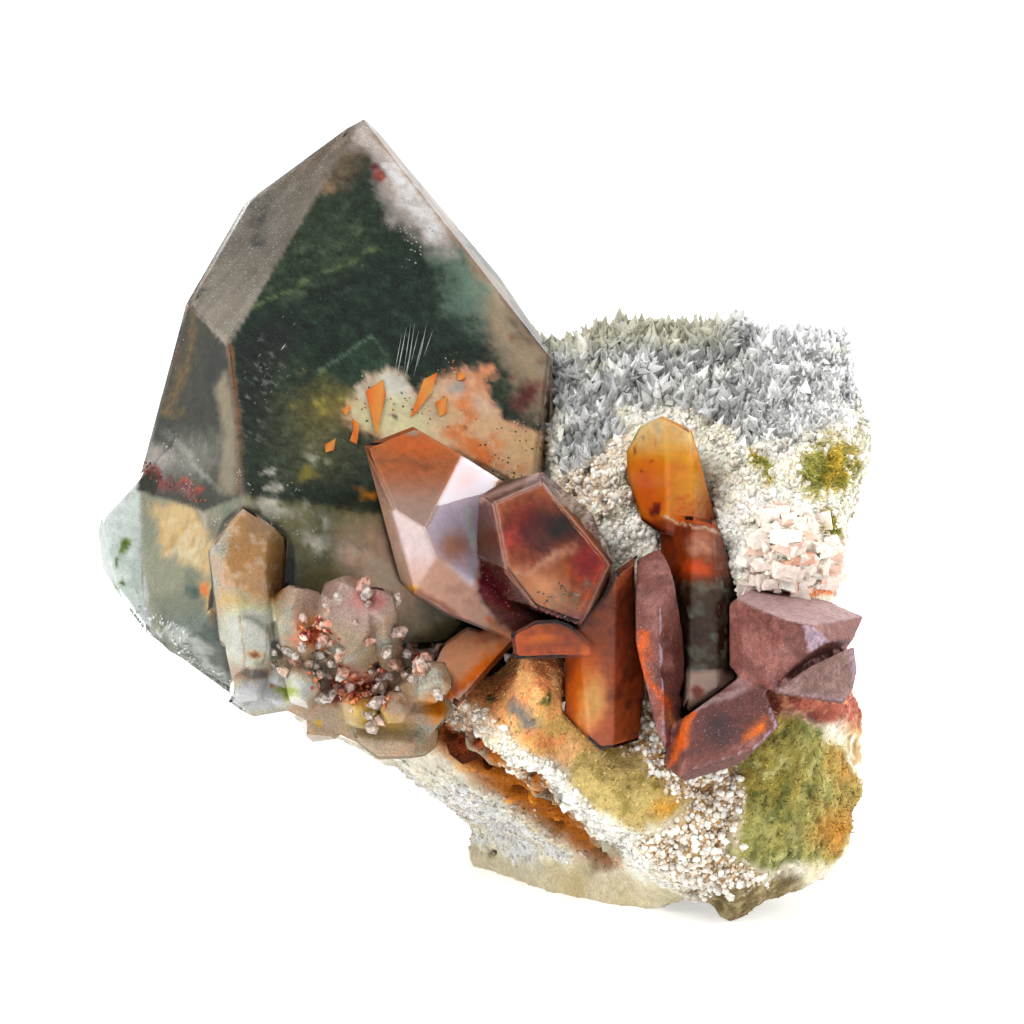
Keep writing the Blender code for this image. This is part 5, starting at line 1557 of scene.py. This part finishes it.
def sand_look(name):
    n = Nodes(name)
    tint = n.attribute("tint", True)
    grain = n.cells(2.6)
    fine = n.noise(4.0, 4.0, 0.7)
    colour = n.mix(1.0, tint, n.ramp(fine, 0.3, 0.7, 0.62, 1.35, False), "MULTIPLY")
    spark = n.ramp(n.noise(6.0, 2.0, 0.6), 0.66, 0.72)
    colour = n.mix(n.maths("MULTIPLY", spark, 0.7), colour, rgb(222, 200, 200))
    normal = n.bump(fine, 0.22, 0.8)
    normal = n.bump(grain, 0.12, 0.7, normal)
    n.set(colour=colour, roughness=n.ramp(fine, 0.3, 0.7, 0.32, 0.62), normal=normal,
          specular=0.55)
    return n.material


purple_mesh.materials.append(sand_look("sandy_purple"))
piece("purple_crust", purple_mesh, "purple_crystals")


# Stage, light and camera

floor_mesh = bpy.data.meshes.new("floor")
floor_mesh.from_pydata([(-3, -2, 0), (3, -2, 0), (3, 4, 0), (-3, 4, 0)], [], [(0, 1, 2, 3)])
floor = link("floor", floor_mesh)
floor_look = Nodes("floor")
grain = floor_look.noise(0.02, 2.0)
floor_look.set(colour=floor_look.mix(grain, (0.90, 0.90, 0.90), (0.93, 0.93, 0.925)),
               roughness=0.35)
floor_look.shader.inputs["Emission Color"].default_value = (1, 1, 1, 1)
floor_look.shader.inputs["Emission Strength"].default_value = 0.40
floor_mesh.materials.append(floor_look.material)

BACKDROP = 1.02        # brightness of the plain background that the camera sees
AIM = Vector((0, 0, 0.045))

world = bpy.data.worlds.new("studio")
bpy.context.scene.world = world
world.use_nodes = True
sky = world.node_tree
background = sky.nodes["Background"]
path = sky.nodes.new("ShaderNodeLightPath")
where = sky.nodes.new("ShaderNodeTexCoord")
parts = sky.nodes.new("ShaderNodeSeparateXYZ")
sky.links.new(where.outputs["Generated"], parts.inputs[0])


def falloff(axis, low, high, at_low, at_high):
    """How the room's light changes along an axis."""
    node = sky.nodes.new("ShaderNodeMapRange")
    for name, value in (("From Min", low), ("From Max", high), ("To Min", at_low),
                        ("To Max", at_high)):
        node.inputs[name].default_value = value
    sky.links.new(parts.outputs[axis], node.inputs["Value"])
    return node.outputs["Result"]


both = sky.nodes.new("ShaderNodeMath")
both.operation = "MULTIPLY"
sky.links.new(falloff("Y", -1.0, 0.35, 0.60, 0.92), both.inputs[0])
sky.links.new(falloff("Z", 0.30, 0.80, 1.0, 0.35), both.inputs[1])
seen = sky.nodes.new("ShaderNodeMix")
seen.inputs[3].default_value = BACKDROP
sky.links.new(path.outputs["Is Camera Ray"], seen.inputs[0])
sky.links.new(both.outputs[0], seen.inputs[2])
sky.links.new(seen.outputs[0], background.inputs["Strength"])
background.inputs["Color"].default_value = (1, 1, 1, 1)


def soft_light(name, place, size, power):
    lamp = bpy.data.lights.new(name, "AREA")
    lamp.shape = "RECTANGLE"
    lamp.size, lamp.size_y = size
    lamp.energy = power
    item = bpy.data.objects.new(name, lamp)
    bpy.context.scene.collection.objects.link(item)
    item.location = place
    item.rotation_euler = (AIM - Vector(place)).to_track_quat("-Z", "Y").to_euler()


soft_light("key", (-0.42, -0.42, 0.62), (0.45, 0.45), 5.0)
soft_light("side", (0.75, 0.12, 0.27), (0.5, 0.5), 4.2)
soft_light("top", (0.28, 0.40, 0.52), (0.35, 0.35), 2.0)

camera = bpy.data.cameras.new("camera")
camera.lens = LENS
camera.sensor_width = SENSOR
camera.clip_start = 0.01
viewer = link("camera", camera)
viewer.location = EYE
viewer.rotation_euler = (math.pi / 2 - TILT, 0, 0)
bpy.context.scene.camera = viewer
bpy.context.scene.view_settings.view_transform = "Standard"
bpy.context.scene.view_settings.look = "Medium High Contrast"
limits = bpy.context.scene.cycles
limits.max_bounces = 5
limits.diffuse_bounces = 2
limits.glossy_bounces = 2
limits.transmission_bounces = 5
limits.transparent_max_bounces = 4
